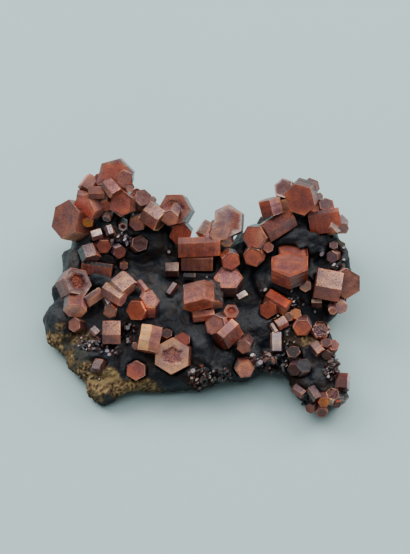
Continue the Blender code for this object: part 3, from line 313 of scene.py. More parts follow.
T = Tint
H = Habit
LOOKS = {
    "west shoulder": Look(T.PINK, T.PLUM, T.PINK, T.APRICOT, T.WINE, T.PINK, habit=H.TERRACED),
    "west orange": Look(T.RUST, T.RED, T.DUSK, T.PINK, T.DUSK, T.CORAL),
    "west amber": Look(T.GOLD, T.RUST, T.DEEP, T.RUST, right=T.CLARET),
    "peak": Look(T.COPPER, T.HAZE, T.WINE, T.WINE, T.WINE, T.PLUM, habit=H.TERRACED),
    "peak front": Look(T.ROSE, T.CLARET, T.PINK, T.DUSK, T.DEEP, T.INK),
    "northwest wedge": Look(T.DEEP, T.WINE, T.WINE, T.WINE),
    "northwest bud": Look(T.APRICOT, T.DEEP, T.CLARET, T.WINE, T.PLUM),
    "northwest amber": Look(T.DEEP, T.GARNET, T.RUST, T.RUST),
    "northwest red face": Look(T.COPPER, T.SHADE, T.PINK, T.PLUM, T.INK, T.PINK, far=T.COPPER),
    "northwest mauve": Look(T.DEEP, T.GARNET, T.PINK, T.SMOKE, T.HAZE, T.WINE),
    "northwest tiny": Look(T.GARNET, T.RUST, T.RUST, T.WINE),
    "northwest brown": Look(T.ORANGE, T.BEIGE, T.FROST, T.WINE, right=T.WINE),
    "northwest smoky": Look(T.FROST, T.IVORY, T.HAZE, T.INK, T.FROST, T.ROSE),
    "north red block": Look(T.PEACH, T.HAZE, T.PINK, T.FROST, T.WINE, T.APRICOT),
    "north crown": Look(T.CREAM, T.PINK, T.RUST, T.RUST, T.WINE, T.DEEP, habit=H.HOPPER),
    "north pink": Look(T.CORAL, T.PLUM, T.PINK, T.WINE, right=T.TAN),
    "centre back red": Look(T.RED, T.DEEP, T.RUST, T.WINE, T.WINE, T.DARK),
    "north hexagon": Look(T.LILAC, T.FROST, T.DUSK, T.WINE, T.WINE, T.DEEP, far=T.BROWN),
    "north mauve": Look(T.APRICOT, T.PEACH, T.PINK, T.PLUM, T.SHADE, T.TAN),
    "north finger": Look(T.IVORY, T.FLAME, T.PINK, T.RUST, T.CLARET, T.DEEP),
    "north orange": Look(T.FLAME, T.BROWN, T.RUST, T.DEEP, T.CLARET, T.WINE),
    "centre hexagon": Look(T.ROSE, T.PINK, T.DUSK, T.GREY, T.COPPER, T.PLUM, habit=H.ETCHED),
    "centre cup": Look(T.WINE, T.PINK, T.COPPER, T.RUST, T.CORAL, T.RUST, habit=H.HOPPER),
    "centre pink": Look(T.BEIGE, T.PLUM, T.PINK, T.MAUVE, T.PLUM, T.CORAL),
    "centre south pink": Look(T.ROSE, T.PLUM, T.PINK, T.PLUM, right=T.PLUM),
    "south coral": Look(T.CORAL, T.MAUVE, T.PINK, T.PINK, T.MAUVE, T.RUST),
    "great hexagon": Look(T.BROWN, T.CLARET, T.CLARET, T.WINE, T.COPPER, T.CLARET, habit=H.TERRACED),
    "great hexagon back": Look(T.BROWN, T.DARK, T.CLARET, T.WINE, T.WINE, T.RUST),
    "east pink disc": Look(T.COPPER, T.GREY, T.PINK, T.DARK, T.WINE, T.ROSE, far=T.BEIGE),
    "east red": Look(T.ORANGE, T.PLUM, T.CLARET, T.DARK, T.RED, T.BROWN),
    "east bud": Look(T.CORAL, T.SILVER, T.PINK, T.WINE),
    "east two tone": Look(T.WINE, T.COPPER, T.DUSK, T.RUST, T.RED, T.CORAL, habit=H.ETCHED),
    "northeast great": Look(T.COPPER, T.COPPER, T.CLARET, T.DEEP, T.GARNET, T.CLARET),
    "northeast dark": Look(T.APRICOT, T.IVORY, T.WINE, T.DARK),
    "northeast shade": Look(T.CORAL, T.WINE, T.DUSK, T.WINE, T.RUST, T.DUSK),
    "northeast olive": Look(T.DEEP, T.FROST, T.OLIVE, T.WINE, T.PLUM, T.OLIVE),
    "northeast mauve": Look(T.PLUM, T.SHADE, T.DUSK, T.WINE, T.PLUM, T.SMOKE),
    "northeast grey": Look(T.HAZE, T.INK, T.DUSK, T.WINE),
    "northeast pink": Look(T.PLUM, T.BROWN, T.PINK, T.WINE, T.WINE, T.RUST),
    "east great side": Look(T.SILVER, T.SILVER, T.PINK, T.WINE, T.APRICOT, T.SMOKE),
    "east spur": Look(T.MAUVE, T.PINK, T.PINK, T.INK),
    "east mauve bud": Look(T.PLUM, T.INK, T.PINK, T.INK, T.INK, T.INK),
    "east grey bud": Look(T.GREY, T.INK, T.PINK, T.INK, T.SMOKE, T.DUSK),
    "east round": Look(T.CREAM, T.CREAM, T.PINK, T.INK, far=T.LILAC),
    "far east hexagon": Look(T.DUSK, T.PLUM, T.PINK, T.WINE, T.CREAM, T.PLUM),
    "far east smoky": Look(T.PEACH, T.HAZE, T.LILAC, T.INK, T.BEIGE, T.CORAL),
    "far east coral": Look(T.CORAL, T.IVORY, T.LILAC, T.WINE, T.APRICOT),
    "southeast red": Look(T.RED, T.SHADE, T.CLARET, T.WINE, T.WINE, T.RED),
    "southeast amber": Look(T.ORANGE, T.BROWN, T.PINK, T.PLUM, T.BEIGE, T.LILAC),
    "southeast gold": Look(T.BRONZE, T.SHADE, T.AMBER, T.RUST),
    "southeast straw": Look(T.MAUVE, T.SMOKE, T.CREAM, T.PINK),
    "southeast rough": Look(T.GREY, T.DARK, T.PINK, T.PEACH, T.PEACH, habit=H.RAGGED),
    "southeast pink": Look(T.SHADE, T.GARNET, T.PINK, T.WINE),
    "southeast brown": Look(T.WINE, T.BROWN, T.DUSK, T.RED, T.RUST, T.OLIVE),
    "southeast purple": Look(T.GREY, T.DARK, T.SMOKE, T.DARK, right=T.DARK, habit=H.STRIATED),
    "tail dark": Look(T.DARK, T.DARK, T.INK, T.HAZE, right=T.DARK),
    "tail smoky": Look(T.INK, T.DARK, T.PLUM, T.LILAC, T.INK, T.SLATE),
    "tail garnet": Look(T.DEEP, T.SLATE, T.SMOKE, T.DARK),
    "tail orange": Look(T.HONEY, T.BEIGE, T.PLUM, T.WINE),
    "tail pink": Look(T.PLUM, T.SMOKE, T.DUSK, T.IVORY, right=T.SILVER, habit=H.RAGGED),
    "tail amber": Look(T.WINE, T.CLARET, T.RUST, T.WINE),
    "tail brown": Look(T.WINE, T.ROSE, T.SHADE, T.WINE, T.SHADE, T.BROWN),
    "tail mauve": Look(T.PINK, T.SHADE, T.INK, T.DARK, right=T.GREY),
    "tail slate": Look(T.SLATE, T.INK, T.SMOKE, T.SLATE),
    "tail shade": Look(T.INK, T.INK, T.SMOKE, T.SLATE),
    "west hopper": Look(T.CLARET, T.PLUM, T.PINK, T.ROSE, T.WINE, T.RUST, far=T.GARNET, habit=H.HOPPER),
    "west foot": Look(T.DUSK, T.SMOKE, T.PINK, T.DUSK, T.PLUM, T.SHADE),
    "west ember": Look(T.COPPER, T.PLUM, T.CLARET, T.SHADE, T.SHADE, T.WINE),
    "west ember east": Look(T.BROWN, T.SHADE, T.CLARET, T.HAZE, T.SMOKE),
    "west garnet": Look(T.DEEP, T.DARK, T.RUST, T.DARK, T.CREAM, T.DARK),
    "dark ring": Look(T.DEEP, T.SILVER, T.SLATE, T.DARK, T.DARK, T.DARK, habit=H.HOPPER),
    "middle rose": Look(T.CREAM, T.SHADE, T.PINK, T.SMOKE, right=T.COPPER),
    "middle ruby": Look(T.RED, T.PINK, T.CLARET, T.RED, T.WINE, T.ORANGE),
    "middle pale east": Look(T.ROSE, T.PLUM, T.PINK, T.APRICOT, T.RUST, T.PLUM, habit=H.ETCHED),
    "middle mauve chip": Look(T.BEIGE, T.DARK, T.INK, T.INK),
    "south red bud": Look(T.WINE, T.GARNET, T.RUST, T.WINE),
    "south dark bud": Look(T.GARNET, T.WINE, T.WINE, T.DARK, T.CREAM),
    "south hopper": Look(T.ROSE, T.CREAM, T.COPPER, T.WINE, T.WINE, T.PINK, habit=H.HOPPER),
    "south hexagon": Look(T.COPPER, T.PLUM, T.PINK, T.WINE, T.WINE, T.APRICOT),
    "mauve bud": Look(T.TAN, T.PLUM, T.PINK, T.INK, T.SHADE, T.INK),
    "northwest pale block": Look(T.COPPER, T.GREY, T.ROSE, T.RUST, T.CLARET, T.PINK, habit=H.ETCHED),
    "northwest bar": Look(T.WINE, T.RUST, T.PINK, T.RED),
    "northwest small pink": Look(T.WINE, T.RUST, T.ROSE, T.PINK),
    "northwest tan": Look(T.DUSK, T.DUSK, T.DUSK, T.WINE, T.RUST, T.ROSE),
    "bright chip": Look(T.WINE, T.WINE, T.CHALK, T.BROWN, T.WINE, T.WINE, habit=H.ETCHED),
    "bright chip east": Look(T.WINE, T.WINE, T.CHALK, T.WINE, T.GREY, T.BEIGE, habit=H.ETCHED),
    "north block": Look(T.TAN, T.IVORY, T.CREAM, T.RUST, T.RED, T.GARNET, habit=H.ETCHED),
    "north plate": Look(T.DUSK, T.WINE, T.MAUVE, T.DUSK, T.FROST, T.APRICOT, habit=H.ETCHED),
    "north plate low": Look(T.DUSK, T.WINE, T.PEACH, T.DUSK, habit=H.ETCHED),
    "centre slab": Look(T.RUST, T.WINE, T.BROWN, T.ORANGE, habit=H.STRIATED),
    "centre slab low": Look(T.WINE, T.WINE, T.CORAL, T.ROSE, habit=H.STRIATED),
    "centre cube": Look(T.FLAME, T.PEACH, T.BROWN, T.WINE, T.DUSK, T.RUST, habit=H.ETCHED),
    "centre cube east": Look(T.IVORY, T.PEACH, T.DARK, T.WINE, T.WINE, T.INK),
    "centre wedge": Look(T.CLARET, T.RUST, T.CORAL, T.RUST),
    "centre etched": Look(T.WINE, T.RUST, T.BEIGE, T.WINE, T.PINK, T.RED, habit=H.STRIATED),
    "chip east": Look(T.WINE, T.WINE, T.CHALK, T.INK, T.INK, T.SLATE, habit=H.ETCHED),
    "middle chip": Look(T.WINE, T.WINE, T.HAZE, T.GARNET, T.WINE, T.WINE, habit=H.ETCHED),
    "middle sliver": Look(T.DARK, T.DARK, T.HAZE, T.DARK, T.DARK, T.DEEP),
    "slate chip": Look(T.SLATE, T.SLATE, T.INK, T.SLATE),
    "east bar": Look(T.WINE, T.WINE, T.PINK, T.WINE, T.WINE, T.ROSE, habit=H.ETCHED),
    "east great block": Look(T.WINE, T.PINK, T.PINK, T.RUST, T.WINE, T.PINK, habit=H.STRIATED),
    "far east pale": Look(T.INK, T.WINE, T.CREAM, T.COPPER, T.DARK, T.PLUM, habit=H.ETCHED),
    "southeast box": Look(T.DARK, T.INK, T.IVORY, T.GARNET),
    "southeast orange": Look(T.APRICOT, T.WINE, T.EMBER, T.SHADE, T.BROWN, T.EMBER),
    "southeast chip": Look(T.WINE, T.WINE, T.CREAM, T.WINE, T.WINE, T.ORANGE, habit=H.ETCHED),
    "southeast sliver": Look(T.WINE, T.WINE, T.SILVER, T.INK, T.GREY),
    "southeast pale bar": Look(T.WINE, T.INK, T.SILVER, T.WINE, T.GREY, T.DARK),
    "southeast striped": Look(T.GREY, T.INK, T.TAN, T.RUST, T.SMOKE, T.CREAM, habit=H.STRIATED),
    "tail box": Look(T.WINE, T.WINE, T.DEEP, T.WINE, T.GREY, T.FROST, habit=H.STRIATED),
    "tail west": Look(T.FROST, T.PLUM, T.MAUVE, T.WINE, T.WINE, habit=H.ETCHED),
    "tail pale": Look(T.PLUM, T.DUSK, T.MAUVE, T.PLUM, T.SMOKE, T.SLATE, habit=H.ETCHED),
    "west dark red": Look(T.BROWN, T.WINE, T.DARK, T.ROSE, habit=H.STRIATED),
    "west plate": Look(T.RUST, T.RUST, T.PLUM, T.RUST, T.SILVER, T.APRICOT),
    "west pale": Look(T.HAZE, T.PLUM, T.HAZE, T.WINE, T.INK, T.PINK, habit=H.ETCHED),
    "west peach": Look(T.APRICOT, T.PEACH, T.PINK, T.RUST, T.SHADE, T.CORAL),
    "middle step": Look(T.PEACH, T.PEACH, T.CREAM, T.RUST, T.RED, T.RUST, habit=H.ETCHED),
    "middle pale": Look(T.APRICOT, T.COPPER, T.CREAM, T.COPPER, T.TAN, T.APRICOT, habit=H.ETCHED),
    "middle tan": Look(T.RUST, T.RUST, T.BEIGE, T.DUSK, T.ROSE, T.OLIVE),
    "middle smoky bar": Look(T.SLATE, T.SLATE, T.FROST, T.SLATE, T.INK, T.SLATE),
    "southwest block": Look(T.CLARET, T.RUST, T.TAN, T.COPPER, T.WINE, T.WINE, habit=H.ETCHED),
    "south tower": Look(T.RUST, T.RUST, T.STRAW, T.RUST, T.RUST, T.BEIGE, habit=H.STRIATED),
    "southwest chip": Look(T.FROST, T.SLATE, T.SILVER, T.SLATE, T.BROWN, habit=H.ETCHED),
    "southwest mauve": Look(T.WINE, T.WINE, T.SHADE, T.WINE, T.PLUM, T.GARNET),
}


@dataclass(frozen=True)
class Patch:
    """Soft-edged area of the crust with a tint of its own, on the display plane in millimetres."""

    across: float
    up: float
    half_width: float
    half_height: float
    tint: Tint
    strength: float = 1.0


PATCHES = (
    Patch(-28.8, -10.6, 2.8, 2.6, T.OCHRE),
    Patch(-21.8, -18.4, 4.6, 4.6, T.OCHRE),
    Patch(-26.0, -13.6, 1.8, 1.8, T.OCHRE),
    Patch(-13.6, -19.6, 6.6, 2.2, T.OCHRE),
    Patch(-19.2, -17.0, 3.0, 1.6, T.LIMONITE),
    Patch(-24.0, -9.4, 3.0, 1.6, T.OCHRE, 0.8),
    Patch(-28.0, -7.2, 1.3, 0.8, T.OCHRE, 0.7),
    Patch(-26.6, -10.7, 0.9, 1.6, T.STONE, 0.9),
    Patch(-23.4, -13.0, 1.8, 1.4, T.STONE, 0.9),
    Patch(19.2, -9.9, 3.4, 1.5, T.UMBER),
    Patch(22.0, -10.4, 2.0, 1.0, T.OCHRE, 0.5),
    Patch(17.4, -17.6, 3.0, 1.4, T.UMBER, 0.9),
    Patch(0.4, -18.0, 3.4, 1.8, T.UMBER, 0.9),
    Patch(28.8, 9.6, 1.0, 0.7, T.OLIVE, 0.9),
    Patch(-20.6, 1.6, 2.2, 1.5, T.SLATE, 1.0),
    Patch(3.8, -4.0, 0.9, 1.0, T.SLATE, 1.0),
    Patch(21.6, -4.6, 1.8, 1.4, T.SLATE, 0.8),
    Patch(12.0, 14.6, 1.6, 1.2, T.STONE, 0.6),
)


@dataclass(frozen=True)
class Sprinkle:
    """Area of tiny crystals on the crust, on the display plane in millimetres."""

    across: float
    up: float
    half_width: float
    half_height: float
    count: int
    smallest: float
    largest: float
    tints: tuple[Tint, ...]


SPRINKLES = (
    Sprinkle(-22.0, -10.6, 2.4, 1.5, 90, 0.25, 0.7, (T.BEIGE, T.FROST, T.STONE, T.BROWN, T.SLATE, T.INK)),
    Sprinkle(-0.2, -17.4, 2.2, 1.8, 60, 0.3, 1.0, (T.WINE, T.FROST, T.STONE, T.CLARET, T.INK, T.DEEP)),
    Sprinkle(4.0, -17.2, 2.6, 1.3, 30, 0.4, 1.0, (T.SMOKE, T.PLUM, T.DEEP, T.UMBER)),
    Sprinkle(12.6, -14.4, 2.4, 1.8, 46, 0.4, 1.2, (T.PINK, T.MAUVE, T.DUSK, T.DEEP, T.PLUM)),
    Sprinkle(17.4, -5.2, 2.4, 1.3, 40, 0.25, 0.7, (T.OCHRE, T.AMBER, T.OLIVE, T.GOLD)),
    Sprinkle(16.6, -9.8, 2.6, 1.4, 26, 0.25, 0.7, (T.OCHRE, T.UMBER, T.OLIVE, T.INK)),
    Sprinkle(-21.0, -16.4, 3.4, 1.6, 40, 0.25, 0.6, (T.OCHRE, T.UMBER, T.MAUVE, T.LIMONITE)),
    Sprinkle(-16.4, 10.2, 2.4, 1.4, 44, 0.3, 1.0, (T.FROST, T.PLUM, T.SMOKE, T.GARNET, T.PINK)),
    Sprinkle(18.6, -3.0, 2.0, 1.6, 34, 0.3, 0.8, (T.PINK, T.SLATE, T.SMOKE, T.GARNET)),
    Sprinkle(26.2, -15.6, 1.4, 2.4, 40, 0.4, 1.2, (T.PLUM, T.MAUVE, T.GARNET, T.DEEP)),
    Sprinkle(24.0, -23.0, 3.4, 2.4, 70, 0.4, 1.3, (T.PLUM, T.MAUVE, T.DEEP, T.SLATE, T.PINK, T.DUSK)),
    Sprinkle(16.0, -14.6, 3.4, 2.6, 60, 0.4, 1.1, (T.PLUM, T.GARNET, T.SLATE, T.UMBER)),
    Sprinkle(27.4, 6.4, 2.0, 2.6, 30, 0.3, 0.9, (T.SMOKE, T.PLUM, T.MAUVE, T.SLATE)),
    Sprinkle(-18.6, -11.8, 2.6, 1.4, 26, 0.25, 0.7, (T.DEEP, T.SMOKE, T.BROWN)),
    Sprinkle(-14.1, -8.6, 1.6, 2.0, 34, 0.4, 1.1, (T.GARNET, T.PLUM, T.DEEP, T.INK)),
)

# Single bright facets on the crust, painted as pale tiny prisms that stand for glints: across, up and size.
GLINTS = (
    (-18.6, -12.4, 1.0), (-18.2, -12.9, 0.8), (-16.8, -11.8, 0.7), (-6.2, 7.6, 0.7),
    (1.4, 2.6, 0.5), (-13.8, 14.8, 0.7), (13.2, 0.0, 0.9), (18.3, -0.2, 0.8), (10.2, -13.2, 1.1),
    (11.6, -14.6, 1.2), (21.2, -22.8, 0.6), (22.8, -4.2, 0.6), (26.6, 4.8, 1.0), (24.4, 7.2, 1.0),
    (-17.4, 9.6, 0.7), (-15.0, 10.0, 1.0), (-14.2, 9.8, 0.7), (28.0, -2.2, 0.6), (1.6, -17.2, 0.8),
    (-1.4, -16.6, 1.2), (2.4, -17.8, 0.6), (25.4, -17.4, 0.7), (22.6, -1.6, 0.6), (-9.9, -5.4, 1.0),
)


def linear_colour(text: str) -> tuple[float, float, float]:
    """Linear RGB of an sRGB hex colour.

    Args:
        text: colour such as "#8A2F22".

    Returns:
        The three linear channels.
    """
    channels = (int(text[place : place + 2], 16) / 255.0 for place in (1, 3, 5))
    red, green, blue = (
        value / 12.92 if value <= 0.04045 else ((value + 0.055) / 1.055) ** 2.4 for value in channels
    )
    return red, green, blue


TONES = {tint: Vector(linear_colour(tint.value)) for tint in Tint}
# Painted light and shade of translucency: thin edges of a crystal are painted brighter, where light leaks
# through, and its middle darker, where the light is lost.
PAINTED_CORE_SHADE = (0.86, 0.80, 0.84)
PAINTED_EDGE_GLOW = (1.24, 1.10, 0.92)


def smooth_step(low: float, high: float, value: float) -> float:
    """Smooth ramp from 0 at low to 1 at high.

    Args:
        low: where the ramp starts.
        high: where it ends.
        value: where it is read.

    Returns:
        The ramp's value, 0 to 1.
    """
    share = min(1.0, max(0.0, (value - low) / (high - low)))
    return share * share * (3.0 - 2.0 * share)


def plane_point(across: float, up: float, height: float) -> Vector:
    """Point in millimetres, centred on the base, of a place on the display plane at a height.

    Args:
        across: to the right on the display plane.
        up: up the display plane.
        height: above the table.

    Returns:
        The point in the part's own frame.
    """
    y = (up - (height - DATUM_HEIGHT) * COS_E) / SIN_E
    return Vector((across, y, height)) - CENTRE


def on_plane(place: Vector) -> tuple[float, float]:
    """Across and up on the display plane of a point in millimetres.

    Args:
        place: point in the part's own frame.

    Returns:
        Its across and up.
    """
    whole = place + CENTRE
    return whole.x, whole.y * SIN_E + (whole.z - DATUM_HEIGHT) * COS_E


@dataclass(frozen=True)
class Crystal:
    """One hexagonal prism.

    Args:
        name: its name.
        cluster: cluster it grew in.
        frame: origin at the cap, Z along the axis, X to a corner.
        corner: cap size corner to corner, in millimetres.
        flat: cap size flat to flat.
        length: length of the prism.
        look: its tints and habit.
    """

    name: str
    cluster: str
    frame: Matrix
    corner: float
    flat: float
    length: float
    look: Look

    @classmethod
    def capped(cls, row: tuple) -> "Crystal":
        """Crystal from a row of the capped table.

        Args:
            row: the row's values.

        Returns:
            The crystal.
        """
        heading, lean, roll = (math.radians(value) for value in row[8:11])
        toward = VIEW_RIGHT * math.cos(heading) + VIEW_UP * math.sin(heading)
        axis = toward * math.sin(lean) + VIEW_OUT * math.cos(lean)
        first = toward * math.cos(lean) - VIEW_OUT * math.sin(lean)
        second = axis.cross(first)
        corner = first * math.cos(roll) + second * math.sin(roll)
        turned = Matrix((corner, axis.cross(corner), axis)).transposed().to_4x4()
        turned.translation = plane_point(*row[2:5])
        return cls(row[0], row[1], turned, *row[5:8], LOOKS[row[0]])

    @classmethod
    def lying(cls, row: tuple) -> "Crystal":
        """Crystal from a row of the lying table.

        Args:
            row: the row's values.

        Returns:
            The crystal.
        """
        width, thick, length = row[5:8]
        compass, pitch, bank = (math.radians(value) for value in row[8:11])
        axis = Vector((math.cos(compass), math.sin(compass), 0.0))
        right = Vector((math.sin(compass), -math.cos(compass), 0.0))
        turn = Matrix.Rotation(pitch, 3, right) @ Matrix.Rotation(bank, 3, axis)
        axis = turn @ axis
        level = turn @ Vector((0.0, 0.0, 1.0))
        turned = Matrix((level.cross(axis), level, axis)).transposed().to_4x4()
        turned.translation = plane_point(*row[2:5]) - level * (thick / 2.0) + axis * (length / 2.0)
        corner = width + thick / math.sqrt(3.0)
        return cls(row[0], row[1], turned, corner, thick, length, LOOKS[row[0]])


@dataclass
class Batch:
    """Vertices, faces and tones of one piece being gathered.

    Args:
        points: vertices in metres.
        faces: vertex numbers of each face.
        tones: linear colour and gloss of each vertex.
    """

    points: list[Vector] = field(default_factory=list)
    faces: list[tuple[int, ...]] = field(default_factory=list)
    tones: list[tuple[float, float, float, float]] = field(default_factory=list)

    def add_point(self, place: Vector, tone: Vector, gloss: float) -> int:
        """Add a vertex.

        Args:
            place: position in millimetres.
            tone: linear colour.
            gloss: 0 dull to 1 bright.

        Returns:
            The vertex's number.
        """
        self.points.append(place * MM)
        self.tones.append((tone.x, tone.y, tone.z, gloss))
        return len(self.points) - 1

    def keep_inside(self, low: Vector, high: Vector) -> None:
        """Pull stray vertices back inside a box.

        Args:
            low: lowest corner, in metres.
            high: highest corner.
        """
        self.points = [inside(point, low, high) for point in self.points]

    def to_object(self, name: str, material: bpy.types.Material, crease: float) -> bpy.types.Object:
        """Make the piece.

        Args:
            name: object name.
            material: its finish.
            crease: angle in degrees over which edges stay sharp.

        Returns:
            The object, linked to the scene.
        """
        mesh = bpy.data.meshes.new(name)
        mesh.from_pydata(self.points, [], self.faces)
        store_tones(mesh, self.tones)
        mesh.materials.append(material)
        mesh.shade_smooth()
        mesh.set_sharp_from_angle(angle=math.radians(crease))
        made = bpy.data.objects.new(name, mesh)
        bpy.context.scene.collection.objects.link(made)
        return made


def inside(point: Vector, low: Vector, high: Vector) -> Vector:
    """Nearest point of a box.

    Args:
        point: any point.
        low: the box's lowest corner.
        high: its highest corner.

    Returns:
        The point itself, or where it leaves the box.
    """
    return Vector(min(max(point[axis], low[axis]), high[axis]) for axis in range(3))


def store_tones(mesh: bpy.types.Mesh, tones: Iterable[tuple[float, float, float, float]]) -> None:
    """Keep a linear colour and a gloss on each vertex of a mesh.

    Args:
        mesh: the mesh.
        tones: red, green, blue and gloss of each vertex.
    """
    kept = mesh.color_attributes.new("tone", "FLOAT_COLOR", "POINT")
    kept.data.foreach_set("color", [value for tone in tones for value in tone])


class CrystalGrower:
    """Grows a finely divided hexagonal prism with rounded edges and growth relief."""

    EDGE = 0.09
    FINEST = 0.13
    COARSEST = 0.30

    def __init__(self, crystal: Crystal) -> None:
        self.crystal = crystal
        self.half_corner = crystal.corner / 2.0
        self.half_flat = crystal.flat / 2.0
        size = min(crystal.corner, crystal.length)
        self.step = min(self.COARSEST, max(self.FINEST, size / 20.0))
        self.edge = min(self.EDGE, crystal.flat * 0.06)
        self.seed = Vector((len(crystal.name) * 7.3, ord(crystal.name[-1]) * 1.7, ord(crystal.name[0]) * 2.9))
        self.ring = self._perimeter()

    def _perimeter(self) -> list[tuple[float, float, Vector, float]]:
        """Points round the cross-section: x, y, outward direction and closeness to a corner."""
        shoulder = self.half_corner - self.half_flat / math.sqrt(3.0)
        corners = [
            Vector((self.half_corner, 0.0)), Vector((shoulder, self.half_flat)),
            Vector((-shoulder, self.half_flat)), Vector((-self.half_corner, 0.0)),
            Vector((-shoulder, -self.half_flat)), Vector((shoulder, -self.half_flat)),
        ]
        points = []
        for index, start in enumerate(corners):
            end = corners[(index + 1) % 6]
            before = corners[index - 1]
            along = (end - start).normalized()
            out = Vector((along.y, -along.x))
            back = (start - before).normalized()
            out_before = Vector((back.y, -back.x))
            tip = start - start.normalized() * self.edge * 0.16
            points.append((tip.x, tip.y, (out + out_before).normalized(), 1.0))
            width = (end - start).length
            inset = min(self.edge, width * 0.3)
            parts = max(2, round(width / self.step))
            stops = [inset] + [width * part / parts for part in range(1, parts)] + [width - inset]
            for stop in stops:
                if inset <= stop <= width - inset:
                    here = start + along * stop
                    points.append((here.x, here.y, out, 0.95 * abs(2.0 * stop / width - 1.0) ** 3))
        return points

    def _cap_drop(self, share: float, x: float, y: float) -> float:
        """Depth of the cap's relief below its plane, in millimetres."""
        habit = self.crystal.look.habit
        place = Vector((x, y, 0.0)) + self.seed
        drop = 0.03 * (noise.noise(place * 0.8) + 1.0)
        if habit is Habit.HOPPER:
            wander = 0.16 * noise.noise(place * 0.55) + 0.07 * noise.noise(place * 2.1)
            pit = 1.0 - smooth_step(0.40, 0.56, share + wander)
            rough = 0.5 + 0.5 * noise.noise(place * 3.4)
            drop += pit * self.half_flat * (0.09 + 0.09 * rough)
        elif habit is Habit.TERRACED:
            level = (1.0 - share) * 3.0 + 0.9 * noise.noise(place * 0.35)
            drop += 0.05 * max(0.0, math.floor(level))
        elif habit is Habit.ETCHED:
            drop += 0.05 * abs(noise.noise(place * 3.4)) + 0.05 * abs(noise.noise(place * 1.3))
        elif habit is Habit.RAGGED:
            drop += 0.5 * abs(noise.noise(place * 1.6)) + 0.2 * abs(noise.noise(place * 4.0))
        elif habit is Habit.STRIATED:
            drop += 0.03 * abs(noise.noise(place * 2.4))
        return drop

    def _side_drop(self, x: float, y: float, depth: float) -> float:
        """Depth of the side relief, in millimetres."""
        habit = self.crystal.look.habit
        place = Vector((x, y, depth)) + self.seed
        drop = 0.02 * (noise.noise(place * 0.7) + 1.0)
        rows = noise.noise(Vector((depth * 2.2, self.seed.x, 0.2 * x)))
        if habit is Habit.STRIATED:
            drop += 0.05 * smooth_step(-0.2, 0.35, rows) + 0.02 * abs(noise.noise(place * 3.0))
        elif habit is Habit.ETCHED:
            drop += 0.05 * abs(noise.noise(place * 3.0)) + 0.04 * smooth_step(0.0, 0.2, rows)
        elif habit is Habit.RAGGED:
            drop += 0.35 * abs(noise.noise(place * 1.7))
        else:
            drop += 0.035 * smooth_step(0.05, 0.2, rows)
        return drop

    def _side_tint(self, out: Vector) -> tuple[Tint, float]:
        """Tint and gloss of the side face that looks in a direction of the cross-section; the tint goes by the
        face's world direction, so it paints light and shade.
        """
        look = self.crystal.look
        world = (self.crystal.frame.to_3x3() @ Vector((out.x, out.y, 0.0))).normalized()
        front = look.front or look.cap
        if world.z > 0.80:
            return look.level or look.rim or look.cap, 0.02 if look.habit is Habit.ETCHED else 0.14
        if world.x < -0.45:
            return look.left or front, 0.55
        if world.x > 0.45:
            return look.right or front, 0.55
        return front, 0.55

    def _cap_tone(self, share: float, x: float, y: float) -> Vector:
        """Colour of the cap: zoned from the middle to the rim, sometimes from left to right, with a painted
        glow toward the rim and painted shade in its middle.
        """
        look = self.crystal.look
        place = Vector((x, y, 0.0)) + self.seed
        middle = TONES[look.cap]
        rim = TONES[look.rim or look.cap]
        if look.far is not None:
            world = self.crystal.frame.to_3x3() @ Vector((x, y, 0.0))
            mix = smooth_step(-0.15, 0.55, world.x / self.half_corner + 0.3 * noise.noise(place * 0.5))
            middle = middle.lerp(TONES[look.far], mix)
        hopper = look.habit is Habit.HOPPER
        wander = 0.14 * noise.noise(place * 0.6) + 0.05 * noise.noise(place * 2.2)
        low, high = (0.44, 0.58) if hopper else (0.72, 0.98)
        zone = smooth_step(low, high, share + wander)
        tone = middle.lerp(rim, zone)
        # Painted glow toward the rim of the cap and painted shade in its middle.
        glow = smooth_step(0.45, 0.98, share)
        tone = Vector(channel * (low + (high - low) * glow) for channel, low, high in zip(tone, PAINTED_CORE_SHADE, PAINTED_EDGE_GLOW))
        return tone * (1.0 + 0.12 * noise.noise(place * 0.9) + 0.08 * noise.noise(place * 3.1))

    def _painted_edge_highlight(self, tone: Vector, place: Vector) -> Vector:
        """Painted highlight of an edge: a paler tone, patchy along its length."""
        patchy = smooth_step(-0.05, 0.35, noise.noise(place * 0.8 + self.seed))
        return tone.lerp(TONES[Tint.EDGE], 0.05 + 0.40 * patchy)

    def grow(self, batch: Batch) -> None:
        """Add the crystal to a batch.

        Args:
            batch: the piece being gathered.
        """
        crystal = self.crystal
        look = crystal.look
        rounds = max(3, round(self.half_flat / self.step))
        lip = 1.0 - self.edge / self.half_flat
        shares = [lip * part / rounds for part in range(1, rounds + 1)]
        centre = batch.add_point(
            crystal.frame @ Vector((0.0, 0.0, -self._cap_drop(0.0, 0.0, 0.0))),
            self._cap_tone(0.0, 0.0, 0.0), 0.5,
        )
        axis = crystal.frame.to_3x3() @ Vector((0.0, 0.0, 1.0))
        etched = look.habit is Habit.ETCHED and axis.z > 0.8
        shine = 0.02 if etched else 0.34 - 0.22 * smooth_step(0.88, 0.98, axis.z)
        rows = []
        for share in shares:
            row = []
            dull = look.habit is Habit.RAGGED or (look.habit is Habit.HOPPER and share < 0.7)
            for x, y, _, _ in self.ring:
                fade = 1.0 - smooth_step(0.90, 1.0, share / lip) * 0.7
                drop = self._cap_drop(share, x * share, y * share) * fade
                place = crystal.frame @ Vector((x * share, y * share, -drop))
                tone = self._cap_tone(share, x * share, y * share)
